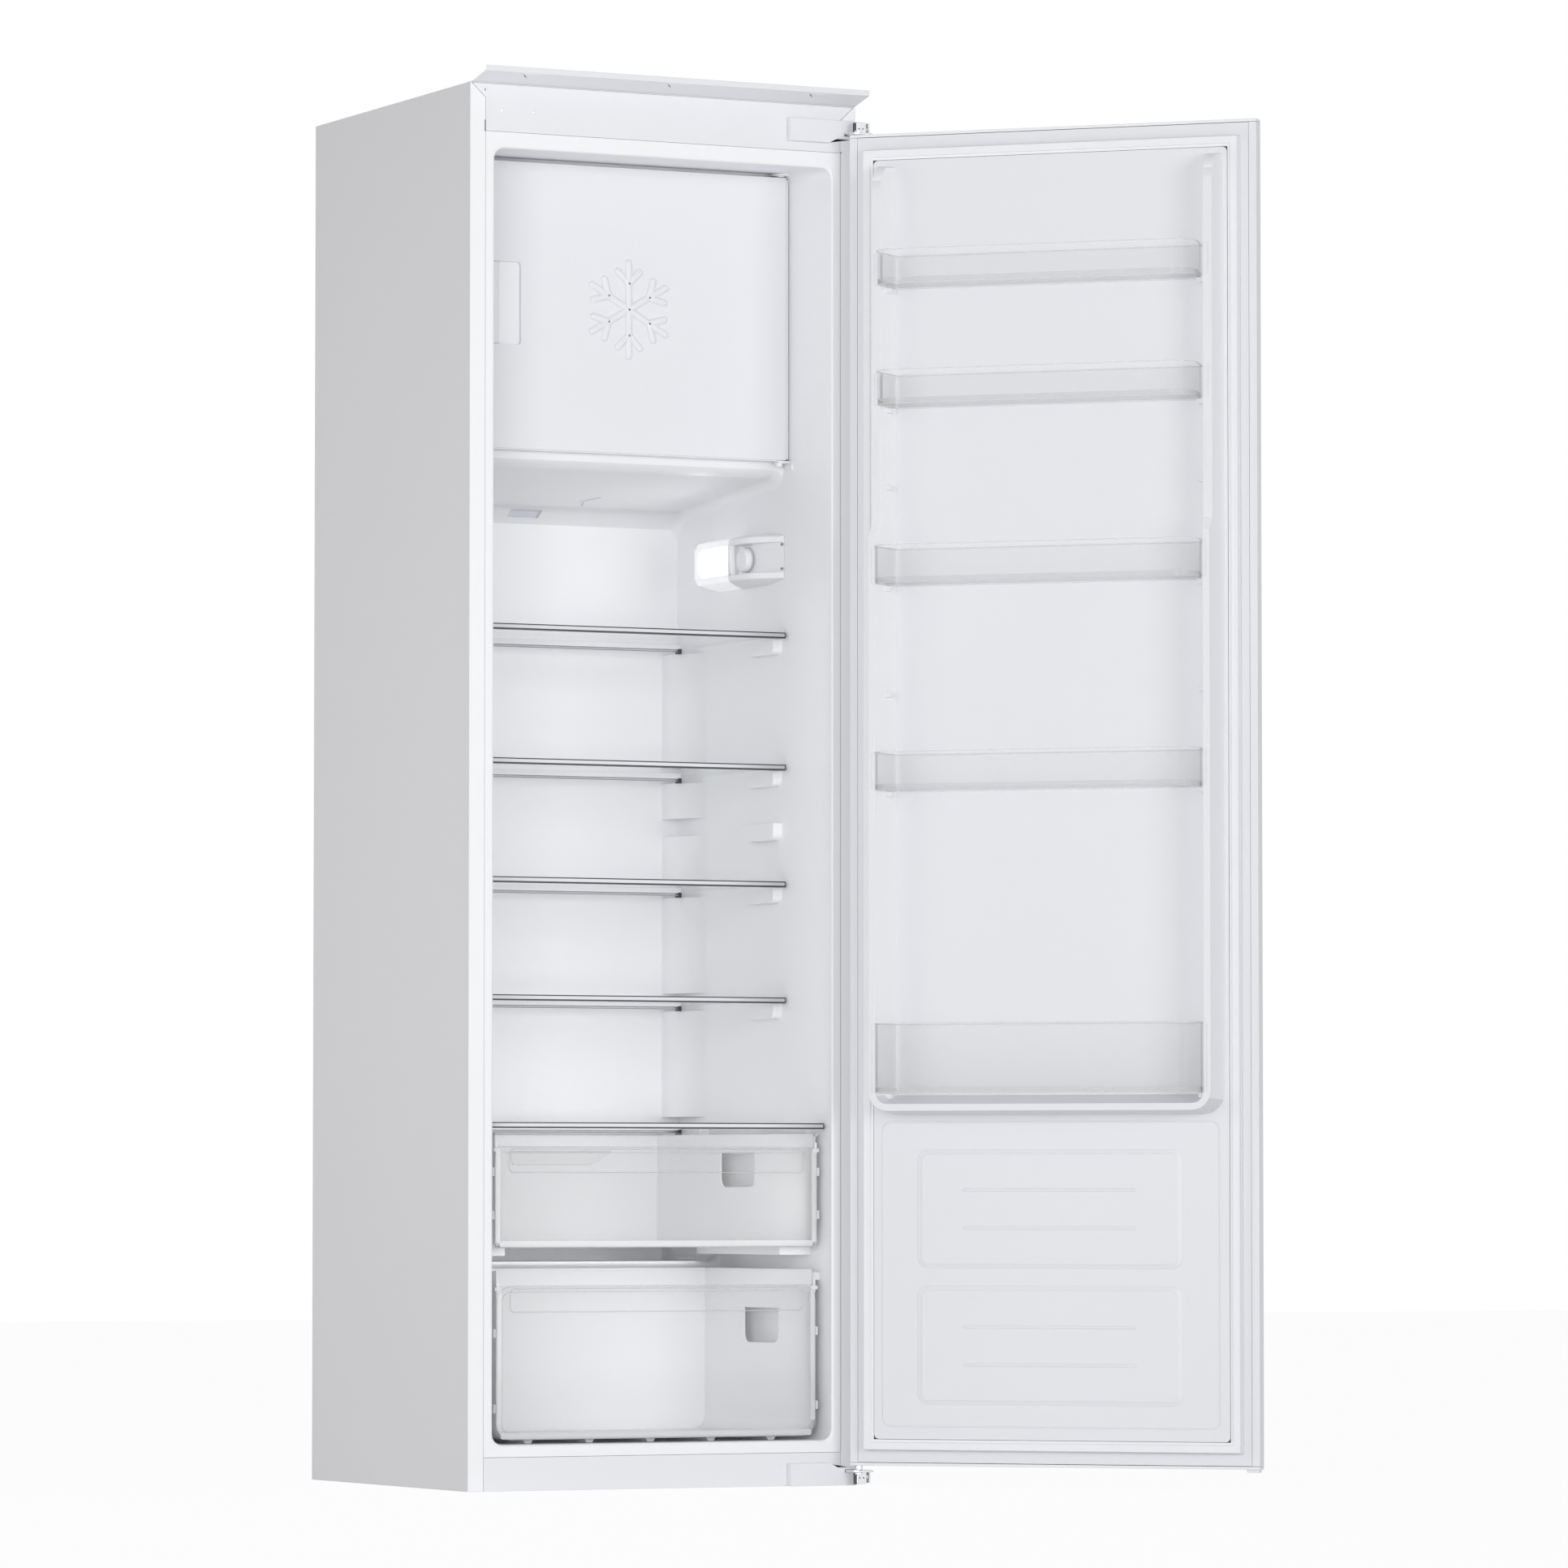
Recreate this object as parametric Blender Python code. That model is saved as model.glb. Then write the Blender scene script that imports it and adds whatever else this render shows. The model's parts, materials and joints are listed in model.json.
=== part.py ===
"""A tall built-in larder refrigerator with an icebox, its main door standing open.

Metres, +Z up, the front towards -Y. The origin is the middle of the cabinet's underside.
The main door's pieces are drawn shut, and the empty on its hinge pin turns them open.
"""

import math

import bpy
from mathutils import Matrix, Vector

# Shared by many pieces
GAP = 0.0003  # between two pieces that touch
OVERRUN = 0.004  # how far a cut runs past what it cuts
BITE = 0.001  # how far joined shapes run into one another
STEEL = 0.001
MOULDING = 0.002  # wall of the cabinet's and the door's liners
CORNER_STEPS = 4
ROUND_SIDES = 20
ROUND_DEGREES = (0, 30, 60, 90)  # of a liner's rounded edge
SHARP_DEGREES = 30

# Cabinet
CABINET_WIDTH = 0.540
CABINET_DEPTH = 0.485
CABINET_HEIGHT = 1.755
RETURN_WIDTH = 0.0213  # strips of the shell beside the opening
MITRE_DROP = 0.019
MITRE_INSET = 0.002
TOP_FASCIA_HEIGHT = 0.0604
BOTTOM_FASCIA_HEIGHT = 0.0417
FASCIA_DEPTH = 0.012
FASCIA_HOLE_RADIUS = 0.0025
FASCIA_HOLE_DROP = 0.0336
FASCIA_HOLE_FIRST = 0.0436  # from the cabinet's left side
FASCIA_HOLE_PITCH = 0.044
BASE_THICKNESS = 0.003

# Strip over the cabinet's front edge
TRIM_INSET = 0.004
TRIM_SHEET = 0.0015
TRIM_SEAT = 0.015
TRIM_REACH = 0.040
TRIM_RISE = 0.009
TRIM_LIP = 0.007

# Cavity of the liner
SIDE_WALL = 0.031
REAR_WALL = 0.048
TOP_WALL = 0.078
MOUTH_HALF = CABINET_WIDTH / 2 - SIDE_WALL
MOUTH_FLOOR = 0.0529
MOUTH_CEILING = CABINET_HEIGHT - TOP_WALL
MOUTH_ROUND = 0.003
FLOOR_LIP = 0.0043
CAVITY_DRAFT = 0.006  # each side, over the cavity's depth
CAVITY_DEPTH = CABINET_DEPTH - REAR_WALL
CAVITY_CORNER = 0.014
CEILING_RISE = 0.006
NOSE_DEPTH = 0.132  # front of the wall round the icebox
NOSE_DRAFT = 0.0005
ICEBOX_HEIGHT = 0.368  # from the wall under the icebox to the mouth's ceiling
NOSE_HEIGHT = MOUTH_CEILING - ICEBOX_HEIGHT
NOSE_ROUND_DEPTH = 0.026
NOSE_ROUND_HEIGHT = 0.021
CHAMFER_DEPTH = 0.036
CHAMFER_DROP = 0.044  # under the icebox's wall
CHAMFER_HEIGHT = 0.022
CHAMFER_TOP = NOSE_HEIGHT - CHAMFER_DROP
CHAMFER_FOOT = CHAMFER_TOP - CHAMFER_HEIGHT
HUMP_LENGTH = 0.125
HUMP_FRONT = CAVITY_DEPTH - HUMP_LENGTH
HUMP_TOP = 0.281
HUMP_ROUND = 0.010
HUMP_DRAFT = 0.004

# Icebox
POCKET_WALL = 0.025
POCKET_FLOOR_WALL = 0.021
POCKET_CEILING_WALL = 0.022
POCKET_REAR_WALL = 0.007
POCKET_HALF = MOUTH_HALF - POCKET_WALL
POCKET_FLOOR = NOSE_HEIGHT + POCKET_FLOOR_WALL
POCKET_CEILING = MOUTH_CEILING - POCKET_CEILING_WALL
POCKET_REAR = CAVITY_DEPTH - POCKET_REAR_WALL
POCKET_CORNER = 0.012
EVAPORATOR_SHEET = 0.0012
ICEBOX_DOOR_SIDE_AIR = 0.0105
ICEBOX_DOOR_LOW_AIR = 0.0005
ICEBOX_DOOR_HALF = MOUTH_HALF - ICEBOX_DOOR_SIDE_AIR
ICEBOX_DOOR_FRONT = 0.113
ICEBOX_DOOR_THICKNESS = 0.015
ICEBOX_DOOR_LOW = NOSE_HEIGHT + ICEBOX_DOOR_LOW_AIR
ICEBOX_DOOR_HIGH = MOUTH_CEILING - MOUTH_ROUND
ICEBOX_DOOR_WALL = 0.0025
ICEBOX_DOOR_FACE = 0.006
GRIP_WIDTH = 0.081
GRIP_RISE = 0.1315
GRIP_HEIGHT = 0.105
GRIP_LOW = ICEBOX_DOOR_LOW + GRIP_RISE
GRIP_HIGH = GRIP_LOW + GRIP_HEIGHT
GRIP_DEPTH = 0.004
GRIP_CORNER = 0.005
ICEBOX_PIN_INSET = 0.007  # from the door's hinge edge
ICEBOX_PIN_BACK = 0.007  # behind the door's front
ICEBOX_PIN_RADIUS = 0.002
ICEBOX_PIN_GRIP = 0.010
ICEBOX_PLATE_WIDTH = 0.0084
ICEBOX_PLATE_DEPTH = 0.014
ICEBOX_PLATE_HEIGHT = 0.0026
ICEBOX_PLATE_AIR = 0.001

# Wall lugs and corner columns, each level under a shelf
DRAWER_SHELF_TOP = 0.4577
LAMP_DROP = 0.023  # under the ceiling's rear edge
LAMP_HEIGHT = 0.067
LAMP_HIGH = CHAMFER_FOOT - LAMP_DROP
LAMP_LOW = LAMP_HIGH - LAMP_HEIGHT
SHELF_SHARES = (0.907, 0.6626, 0.4467, 0.2327)  # of the way from the drawers up to the lamp
SPARE_SHARE = 0.5626  # where a shelf's top would be
LUG_FRONT = 0.138
LUG_REAR = 0.215
LUG_HEIGHT = 0.022
LUG_PROUD = 0.012
LUG_CORNER = 0.009
COLUMN_LENGTH = 0.087
COLUMN_FACE_LENGTH = 0.030
COLUMN_START = CAVITY_DEPTH - COLUMN_LENGTH
COLUMN_FACE = CAVITY_DEPTH - COLUMN_FACE_LENGTH
COLUMN_PROUD = 0.022
NOTCH_BELOW = 0.007
NOTCH_ABOVE = 0.016
REAR_LUG_LENGTH = 0.092
REAR_LUG_START = CAVITY_DEPTH - REAR_LUG_LENGTH
REAR_LUG_PROUD = 0.012
FRONT_LUG_START = 0.060
FRONT_LUG_END = 0.130
FRONT_LUG_PROUD = 0.006
FRONT_LUG_HEIGHT = 0.010
GUIDE_TOP = 0.269
GUIDE_HEIGHT = 0.010
GUIDE_PROUD = 0.010
GUIDE_FRONT = 0.035
GUIDE_END = 0.115
LEDGE_FRONT = 0.060
LEDGE_REAR_AIR = 0.137
LEDGE_WIDTH = 0.047
LEDGE_END = CAVITY_DEPTH - LEDGE_REAR_AIR
LEDGE_HALF = MOUTH_HALF - LEDGE_WIDTH
LEDGE_HEIGHT = 0.010

# Shelves
GLASS = 0.004
GLASS_FRONT_AIR = 0.0075  # beside the glass
GLASS_REAR_AIR = 0.010
GLASS_HALF_FRONT = MOUTH_HALF - GLASS_FRONT_AIR
GLASS_HALF_REAR = MOUTH_HALF - GLASS_REAR_AIR
SHELF_FRONT = 0.121
DRAWER_SHELF_FRONT = 0.015
SHELF_REAR_AIR = 0.037
SHELF_REAR = CAVITY_DEPTH - SHELF_REAR_AIR
TRIM_HEIGHT = 0.0074
TRIM_COVER = 0.0008  # of the trim over the glass
FRONT_TRIM_DEPTH = 0.013
REAR_TRIM_DEPTH = 0.010
REAR_TRIM_AIR = 0.023  # beside the trim
REAR_TRIM_HALF = MOUTH_HALF - REAR_TRIM_AIR
REAR_TRIM_DROP = 0.0050
TRIM_NOSE = 0.0015

# Drawers
DRAWER_FRONT = 0.019
DRAWER_PANEL = 0.003
DRAWER_TAPER = 0.0662  # of its half-width, for each unit of depth
DRAWER_WALL = 0.002
DRAWER_FLOOR = 0.0025
DRAWER_LIP = 0.002
DRAWER_LIP_HEIGHT = 0.003
UPPER_SIDE_AIR = 0.0145
UPPER_REAR_AIR = 0.010
UPPER_HALF = MOUTH_HALF - UPPER_SIDE_AIR
UPPER_LOW = 0.3012
UPPER_PANEL_TOP = 0.4274
UPPER_RIM = 0.4447
UPPER_REAR = CAVITY_DEPTH - UPPER_REAR_AIR
UPPER_CORNER = 0.006
UPPER_STRIP_TOP = 0.4243
UPPER_HOLE_CENTRE = 0.216
UPPER_HOLE_TOP = 0.4215
LOWER_SIDE_AIR = 0.0165
LOWER_REAR_AIR = 0.014
LOWER_HALF = MOUTH_HALF - LOWER_SIDE_AIR
LOWER_LOW = 0.0624
LOWER_PANEL_TOP = 0.2538
LOWER_RIM = 0.2727
LOWER_REAR = HUMP_FRONT - LOWER_REAR_AIR
LOWER_CORNER = 0.020
LOWER_STRIP_TOP = 0.2503
LOWER_HOLE_CENTRE = 0.152
LOWER_HOLE_TOP = 0.2227
STRIP_HEIGHT = 0.0292
STRIP_INSET = 0.019
STRIP_DEPTH = 0.001
HOLE_LENGTH = 0.087
HOLE_HEIGHT = 0.0445
HOLE_CORNER = 0.012
RUNNERS = 5
RUNNER_WIDTH = 0.016

# Lamp and thermostat on the right wall
LAMP_FRONT = 0.130
LAMP_REAR_AIR = 0.102
LENS_LENGTH = 0.119
LAMP_REAR = CAVITY_DEPTH - LAMP_REAR_AIR
LAMP_SPLIT = LAMP_REAR - LENS_LENGTH
LAMP_PROUD = 0.0375
LAMP_NOSE = 0.002  # proud of the wall at its front end
LAMP_RAMP = 0.038
LAMP_EASE = 0.003  # from the ramp's top up to the proud face
LAMP_BEND = 0.060
LAMP_CORNER = 0.026
LAMP_BEVEL = 0.003
LAMP_RAIL = 0.014
LAMP_FLOOR_NOSE = 0.0012  # of the floor between the rails, proud of the wall
LAMP_FLOOR = 0.0215
LENS_WALL = 0.002
LED_BOARD = 0.0016
LED_HALF_HEIGHT = 0.020
LED_INSET = 0.010
KNOB_TO_LENS = 0.0165
KNOB_PLACE = LAMP_SPLIT - KNOB_TO_LENS
KNOB_RADIUS = 0.015
KNOB_HEIGHT = 0.008
KNOB_EDGE = 0.0015
KNOB_SHAFT_RADIUS = 0.003
KNOB_SHAFT = 0.010

# Cold machine and its coil
BAY_WALL = 0.038
BAY_SIDE_WALL = 0.035
BAY_FRONT = HUMP_FRONT + BAY_WALL
BAY_TOP = 0.245
BAY_HALF = CABINET_WIDTH / 2 - BAY_SIDE_WALL
COMPRESSOR_RADIUS = 0.060
COMPRESSOR_HEIGHT = 0.165
COMPRESSOR_RADIUS_SHARES = (0.80, 0.97, 1.0, 1.0, 0.97, 0.80, 0.45)
COMPRESSOR_HEIGHT_SHARES = (0.0, 0.06, 0.15, 0.75, 0.88, 0.96, 1.0)
TRAY_LENGTH = 0.150
TRAY_WIDTH = 0.100
TRAY_HEIGHT = 0.022
TRAY_WALL = 0.002
TRAY_CORNER = 0.010
DRAIN_RADIUS = 0.008
DRAIN_WALL = 0.002
DRAIN_AIR = 0.005
COIL_SIDE_AIR = 0.070
COIL_TOP_AIR = 0.135
COIL_HALF = CABINET_WIDTH / 2 - COIL_SIDE_AIR
COIL_LOW = 0.300
COIL_PASSES = 16
COIL_PITCH = (CABINET_HEIGHT - COIL_TOP_AIR - COIL_LOW) / (COIL_PASSES - 1)
COIL_BACK = 0.009  # from the back panel to the tube's middle
TUBE_RADIUS = 0.0025
TUBE_SIDES = 8
TUBE_STEPS = 4
TUBE_BEND = 0.015
TAIL_HEIGHT = 0.262
FEED_HEIGHT = 0.100
FEED_INSET = 0.050  # from the coil's side
FEED_SIDE = COIL_HALF - FEED_INSET
WIRES = 21
WIRE = 0.002
WIRE_MARGIN = 0.020
CROSS_WIRES = 4
POST_SIZE = 0.012
DRIER_RADIUS = 0.009
DRIER_LENGTH = 0.110
DRIER_NECK = 0.012

# Main door, measured shut: along from its hinge edge, and thick from its inner face
DOOR_SIDE_AIR = 0.003
DOOR_TOP_AIR = 0.0455
DOOR_WIDTH = CABINET_WIDTH - 2 * DOOR_SIDE_AIR
DOOR_LOW = 0.030
DOOR_HIGH = CABINET_HEIGHT - DOOR_TOP_AIR
DOOR_THICKNESS = 0.020
DOOR_SPACING = 0.014  # from the cabinet's front to the door's inner face
DOOR_RETURN = 0.010
DOOR_OPEN_DEGREES = 135.2
PIN_ALONG = 0.007
CAP_HEIGHT = 0.0037
BUSH_RADIUS = 0.0046
BUSH_DEPTH = 0.012
PEG_LENGTH = 0.016
PEG_WIDTH = 0.012
PEG_HEIGHT = 0.004
PEG_INSET = 0.002
GASKET_ALONG = 0.021
GASKET_WIDTH = 0.012
GASKET_LOW = 0.046
GASKET_TOP_DROP = 0.0175
GASKET_HIGH = DOOR_HIGH - GASKET_TOP_DROP
GASKET_AIR = 0.0006
PLATEAU_HEIGHT = 0.011
PLATEAU_CORNER = 0.006
PLATEAU_AIR = 0.002  # between the gasket and the plateau
RIDGE_LINE = 0.0505  # middle of the ridge from the door's edge
RIDGE_UPPER_HEIGHT = 0.051
RIDGE_LOWER_HEIGHT = 0.065
RIDGE_OUTER_FOOT = 0.0105
RIDGE_OUTER_TOP = 0.0057
RIDGE_INNER_FOOT = 0.0148
RIDGE_UPPER_INNER_TOP = 0.0059
RIDGE_LOWER_INNER_TOP = 0.0030
RIDGE_END_DROP = 0.0395
RIDGE_END = DOOR_HIGH - RIDGE_END_DROP
RIDGE_END_ROUND = 0.036
RIDGE_END_STEPS = 4
RIDGE_FOOT = 0.478
RIDGE_STEP_SHARE = 0.6015  # of the way from the ridge's foot to its end
RIDGE_STEP_HEIGHT = 0.015
RIDGE_STEP_LOW = RIDGE_FOOT + RIDGE_STEP_SHARE * (RIDGE_END - RIDGE_FOOT)
RIDGE_STEP_HIGH = RIDGE_STEP_LOW + RIDGE_STEP_HEIGHT
RIDGE_BEND = 0.018
RIDGE_BEND_STEPS = 4

# Door bins
BIN_WALL = 0.0018
BIN_FLOOR = 0.002
BIN_BACK = 0.0125
BIN_REACH = 0.098
BIN_CORNER = 0.028
BIN_DRAFT = 0.002
BIN_SIDE_AIR = 0.002
BIN_SHOULDER = 0.066
BIN_SHARES = (0.8674, 0.7399, 0.5508, 0.3326)  # of the way up the ridge
BOTTLE_BIN_RISE = 0.016  # over the ridge's foot
SMALL_BIN_HEIGHT = 0.043
MIDDLE_BIN_HEIGHT = 0.048
BOTTLE_BIN_HEIGHT = 0.088
BIN_LUG_START = 0.028
BIN_LUG_LENGTH = 0.012
BIN_LUG_HEIGHT = 0.006
BIN_LUG_REACH = 0.002
SPARE_LUG_SHARES = (0.6577, 0.4379)

# Hinges
COVER_WIDTH = 0.092
COVER_INSET = 0.005  # from the cabinet's side
COVER_RIGHT = CABINET_WIDTH / 2 - COVER_INSET
COVER_LEFT = COVER_RIGHT - COVER_WIDTH
COVER_PROUD = 0.010
COVER_WALL = 0.0015
COVER_STEP_INSET = 0.0414  # from the cabinet's side
COVER_STEP_WIDTH = 0.0111
COVER_STEP_RISE = 0.0057
COVER_STEP_START = CABINET_WIDTH / 2 - COVER_STEP_INSET
COVER_STEP_END = COVER_STEP_START + COVER_STEP_WIDTH
UPPER_COVER_DROP = 0.020
UPPER_COVER_HEIGHT = 0.029
UPPER_COVER_HIGH = CABINET_HEIGHT - UPPER_COVER_DROP
UPPER_COVER_LOW = UPPER_COVER_HIGH - UPPER_COVER_HEIGHT
LOWER_COVER_HIGH = 0.0285
BRACKET_MARGIN = 0.003  # inside the cover's right side
BRACKET_WIDTH = 0.082
BRACKET_RIGHT = COVER_RIGHT - BRACKET_MARGIN
BRACKET_LEFT = BRACKET_RIGHT - BRACKET_WIDTH
ARM_WIDTH = 0.030
ARM_REACH = 0.010  # past the cabinet's side
ARM_RIGHT = CABINET_WIDTH / 2 + ARM_REACH
ARM_LEFT = ARM_RIGHT - ARM_WIDTH
BRACKET_PLATE = 0.005
BRACKET_EDGE = 0.003
ARM_THICKNESS = 0.003
ARM_NOSE = 0.0065
UPPER_ARM_RISE = 0.0091  # over the cover's underside
UPPER_ARM_LOW = UPPER_COVER_LOW + UPPER_ARM_RISE
LOWER_ARM_LOW = 0.0168
SIDE_LUG_THICKNESS = 0.0025
SIDE_LUG_REACH = 0.022
SIDE_LUG_HEIGHT = 0.015
SIDE_LUG_HOLE = 0.0025
SCREW_SHARES = (0.25, 0.75)  # of the side lug's reach
PIN_RADIUS = 0.0025
PIN_HEAD_RADIUS = 0.005
PIN_HEAD_HEIGHT = 0.0025
PIN_GRIP = 0.008

# Worked out from the sizes above
HALF = CABINET_WIDTH / 2
WINDOW_HALF = HALF - RETURN_WIDTH
TOP_SEAM = CABINET_HEIGHT - TOP_FASCIA_HEIGHT
CAVITY_HALF = MOUTH_HALF - MOUTH_ROUND
CAVITY_FLOOR = MOUTH_FLOOR + FLOOR_LIP
CAVITY_CEILING = MOUTH_CEILING - MOUTH_ROUND
LAMP_MIDDLE = (LAMP_LOW + LAMP_HIGH) / 2
BAY_MIDDLE = (BAY_FRONT + CABINET_DEPTH) / 2
COIL_DEPTH = CABINET_DEPTH + COIL_BACK
HINGE_EDGE = HALF - DOOR_SIDE_AIR
SHELF_STACK = TRIM_COVER + GLASS + GAP  # from a shelf's top down to its lugs
LARDER_HEIGHT = LAMP_LOW - DRAWER_SHELF_TOP
SHELF_TOPS = tuple(DRAWER_SHELF_TOP + share * LARDER_HEIGHT for share in SHELF_SHARES)
LUG_TOPS = tuple(
    DRAWER_SHELF_TOP + share * LARDER_HEIGHT - SHELF_STACK for share in (*SHELF_SHARES, SPARE_SHARE)
)
RIDGE_LENGTH = RIDGE_END - RIDGE_FOOT
BIN_HEIGHTS = (SMALL_BIN_HEIGHT, SMALL_BIN_HEIGHT, MIDDLE_BIN_HEIGHT, MIDDLE_BIN_HEIGHT, BOTTLE_BIN_HEIGHT)
BIN_LOWS = (
    *(RIDGE_FOOT + share * RIDGE_LENGTH for share in BIN_SHARES),
    RIDGE_FOOT + BOTTLE_BIN_RISE,
)
SPARE_LUG_TOPS = tuple(RIDGE_FOOT + share * RIDGE_LENGTH for share in SPARE_LUG_SHARES)
DRAWER_SHELF_SEAT = DRAWER_SHELF_TOP - SHELF_STACK


# Places and outlines


def behind(depth):
    """The y of a place this deep behind the cabinet's front."""
    return depth - CABINET_DEPTH / 2


def along(distance):
    """The x of a place this far from the shut door's hinge edge."""
    return HINGE_EDGE - distance


def thick(height):
    """The y of a place this far from the shut door's inner face, towards the cabinet."""
    return behind(height - DOOR_SPACING)


def wall_half(depth):
    """Half the cavity's width at this depth."""
    share = (depth - MOUTH_ROUND) / (CAVITY_DEPTH - MOUTH_ROUND)
    return CAVITY_HALF - CAVITY_DRAFT * share


def drawer_half(half, depth):
    """Half a drawer's width at this depth."""
    return half - DRAWER_TAPER * (depth - DRAWER_FRONT)


def circle(radius, sides=ROUND_SIDES):
    turns = [math.tau * i / sides for i in range(sides)]
    return [(radius * math.cos(turn), radius * math.sin(turn)) for turn in turns]


def eased(corners, steps=CORNER_STEPS):
    """An outline through (a, b, radius) corners, each turned by an arc of its radius."""
    outline = []
    for i, (a, b, radius) in enumerate(corners):
        if not radius:
            outline.append((a, b))
            continue
        here = Vector((a, b))
        before = (Vector(corners[i - 1][:2]) - here).normalized()
        after = (Vector(corners[(i + 1) % len(corners)][:2]) - here).normalized()
        half = before.angle(after) / 2
        centre = here + (before + after).normalized() * radius / math.sin(half)
        start = here + before * radius / math.tan(half) - centre
        side = -math.copysign(1, before.cross(after))
        for step in range(steps + 1):
            turn = Matrix.Rotation(side * (math.pi - 2 * half) * step / steps, 2)
            outline.append(tuple(centre + turn @ start))
    return outline


def rounded(low_a, high_a, low_b, high_b, radius):
    corners = ((low_a, low_b), (high_a, low_b), (high_a, high_b), (low_a, high_b))
    return eased([(a, b, radius) for a, b in corners])


# Closed shells


def place(axis, pair, level):
    a, b = pair
    return {"x": (level, a, b), "y": (a, level, b), "z": (a, b, level)}[axis]


def loft(rings, split=False):
    """A closed shell through rings of points, capped at both ends and facing out.

    Its twisted sides are split alike, so that a shell grown from another stays clear of it.
    """
    count = len(rings[0])
    last = count * (len(rings) - 1)
    points = [Vector(point) for ring in rings for point in ring]
    faces = [tuple(reversed(range(count))), tuple(range(last, last + count))]
    for low in range(0, last, count):
        for i in range(count):
            j = (i + 1) % count
            if split:
                faces.append((low + i, low + j, low + count + j))
                faces.append((low + i, low + count + j, low + count + i))
            else:
                faces.append((low + i, low + j, low + count + j, low + count + i))
    volume = 0
    for face in faces:
        for i in range(1, len(face) - 1):
            volume += points[face[0]].dot(points[face[i]].cross(points[face[i + 1]]))
    if volume < 0:
        faces = [tuple(reversed(face)) for face in faces]
    return points, faces


def stack(axis, layers, split=False):
    """A shell through (level, outline) layers."""
    rings = [[place(axis, pair, level) for pair in outline] for level, outline in layers]
    return loft(rings, split)


def prism(axis, outline, low, high):
    return stack(axis, [(low, outline), (high, outline)])


def box(low_x, high_x, low_y, high_y, low_z, high_z):
    corners = ((low_x, low_y), (high_x, low_y), (high_x, high_y), (low_x, high_y))
    return prism("z", corners, low_z, high_z)


def turned(axis, centre, layers, sides=ROUND_SIDES):
    """A shell turned about a line through centre, from (level, radius) layers."""
    a, b = centre
    return stack(
        axis,
        [(level, [(a + x, b + y) for x, y in circle(radius, sides)]) for level, radius in layers],
    )


def bent(corners, radius, steps=TUBE_STEPS):
    """A path through the corners, with its inner corners rounded."""
    path = [Vector(corners[0])]
    for before, here, after in zip(corners, corners[1:], corners[2:]):
        here = Vector(here)
        start = here + (Vector(before) - here).normalized() * radius
        end = here + (Vector(after) - here).normalized() * radius
        for step in range(steps + 1):
            share = step / steps
            path.append(start.lerp(here, share).lerp(here.lerp(end, share), share))
    path.append(Vector(corners[-1]))
    return path


def swept(path, radius, sides=TUBE_SIDES):
    """A round bar along a path."""
    rings = []
    side = None
    for i, here in enumerate(path):
        ahead = (path[min(i + 1, len(path) - 1)] - path[max(i - 1, 0)]).normalized()
        side = side or ahead.orthogonal()
        side = (side - ahead * side.dot(ahead)).normalized()
        other = ahead.cross(side)
        rings.append([here + side * x + other * y for x, y in circle(radius, sides)])
    return loft(rings)


def mirrored(shell):
    """The same shell on the cabinet's other side."""
    points, faces = shell
    flipped = [Vector((-point.x, point.y, point.z)) for point in points]
    return flipped, [tuple(reversed(face)) for face in faces]


def both_sides(shells):
    return [*shells, *(mirrored(shell) for shell in shells)]


# Objects


def clear_scene():
    for old in list(bpy.data.objects):
        bpy.data.objects.remove(old)


def finish(name, colour, roughness, metallic=0.0):
    material = bpy.data.materials.new(name)
    material.use_nodes = True
    shader = material.node_tree.nodes["Principled BSDF"]
    shader.inputs["Base Color"].default_value = (*colour, 1.0)
    shader.inputs["Roughness"].default_value = roughness
    shader.inputs["Metallic"].default_value = metallic
    return material


def pivot(name, place_of, degrees=0.0):
    """An empty on a joint's axis."""
    empty = bpy.data.objects.new(name, None)
    bpy.context.scene.collection.objects.link(empty)
    empty.location = place_of
    empty.rotation_euler.z = math.radians(degrees)
    return empty


def piece(name, shells, look, parent=None, smooth=False):
    """An object from closed shells, drawn where it is with its parent unturned."""
    mesh = bpy.data.meshes.new(name)
    points, faces = [], []
    for shell_points, shell_faces in shells:
        faces += [tuple(i + len(points) for i in face) for face in shell_faces]
        points += shell_points
    mesh.from_pydata(points, [], faces)
    if look:
        mesh.materials.append(look)
    if smooth:
        mesh.shade_smooth()
        mesh.set_sharp_from_angle(angle=math.radians(SHARP_DEGREES))
    made = bpy.data.objects.new(name, mesh)
    bpy.context.scene.collection.objects.link(made)
    if parent:
        made.parent = parent
        made.matrix_parent_inverse = Matrix.Translation(-parent.location)
    return made


def combine(made, operation, name, shells, overlapping=False):
    """Joins shells to a piece, or cuts them from it, by way of a hidden helper."""
    helper = piece(f"{made.name}_{name}", shells, None)
    helper.hide_render = True
    helper.display_type = "WIRE"
    helper.parent = made.parent
    helper.matrix_parent_inverse = made.matrix_parent_inverse
    modifier = made.modifiers.new(name, "BOOLEAN")
    modifier.operation = operation
    modifier.solver = "EXACT"
    modifier.use_self = overlapping
    modifier.object = helper


def cut(made, name, shells):
    combine(made, "DIFFERENCE", name, shells)


def join(made, name, shells, overlapping=False):
    combine(made, "UNION", name, shells, overlapping)


# Cabinet


def window_outline(low, inset):
    """The shell's front window, whose top corners run out along the mitres."""
    half = WINDOW_HALF - inset
    shoulder = CABINET_HEIGHT - MITRE_DROP + inset
    top_half = HALF - MITRE_INSET - 3 * inset
    top = CABINET_HEIGHT - STEEL - inset
    right = [(half, low), (half, shoulder), (top_half, top)]
    return right + [(-x, z) for x, z in reversed(right)]


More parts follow.
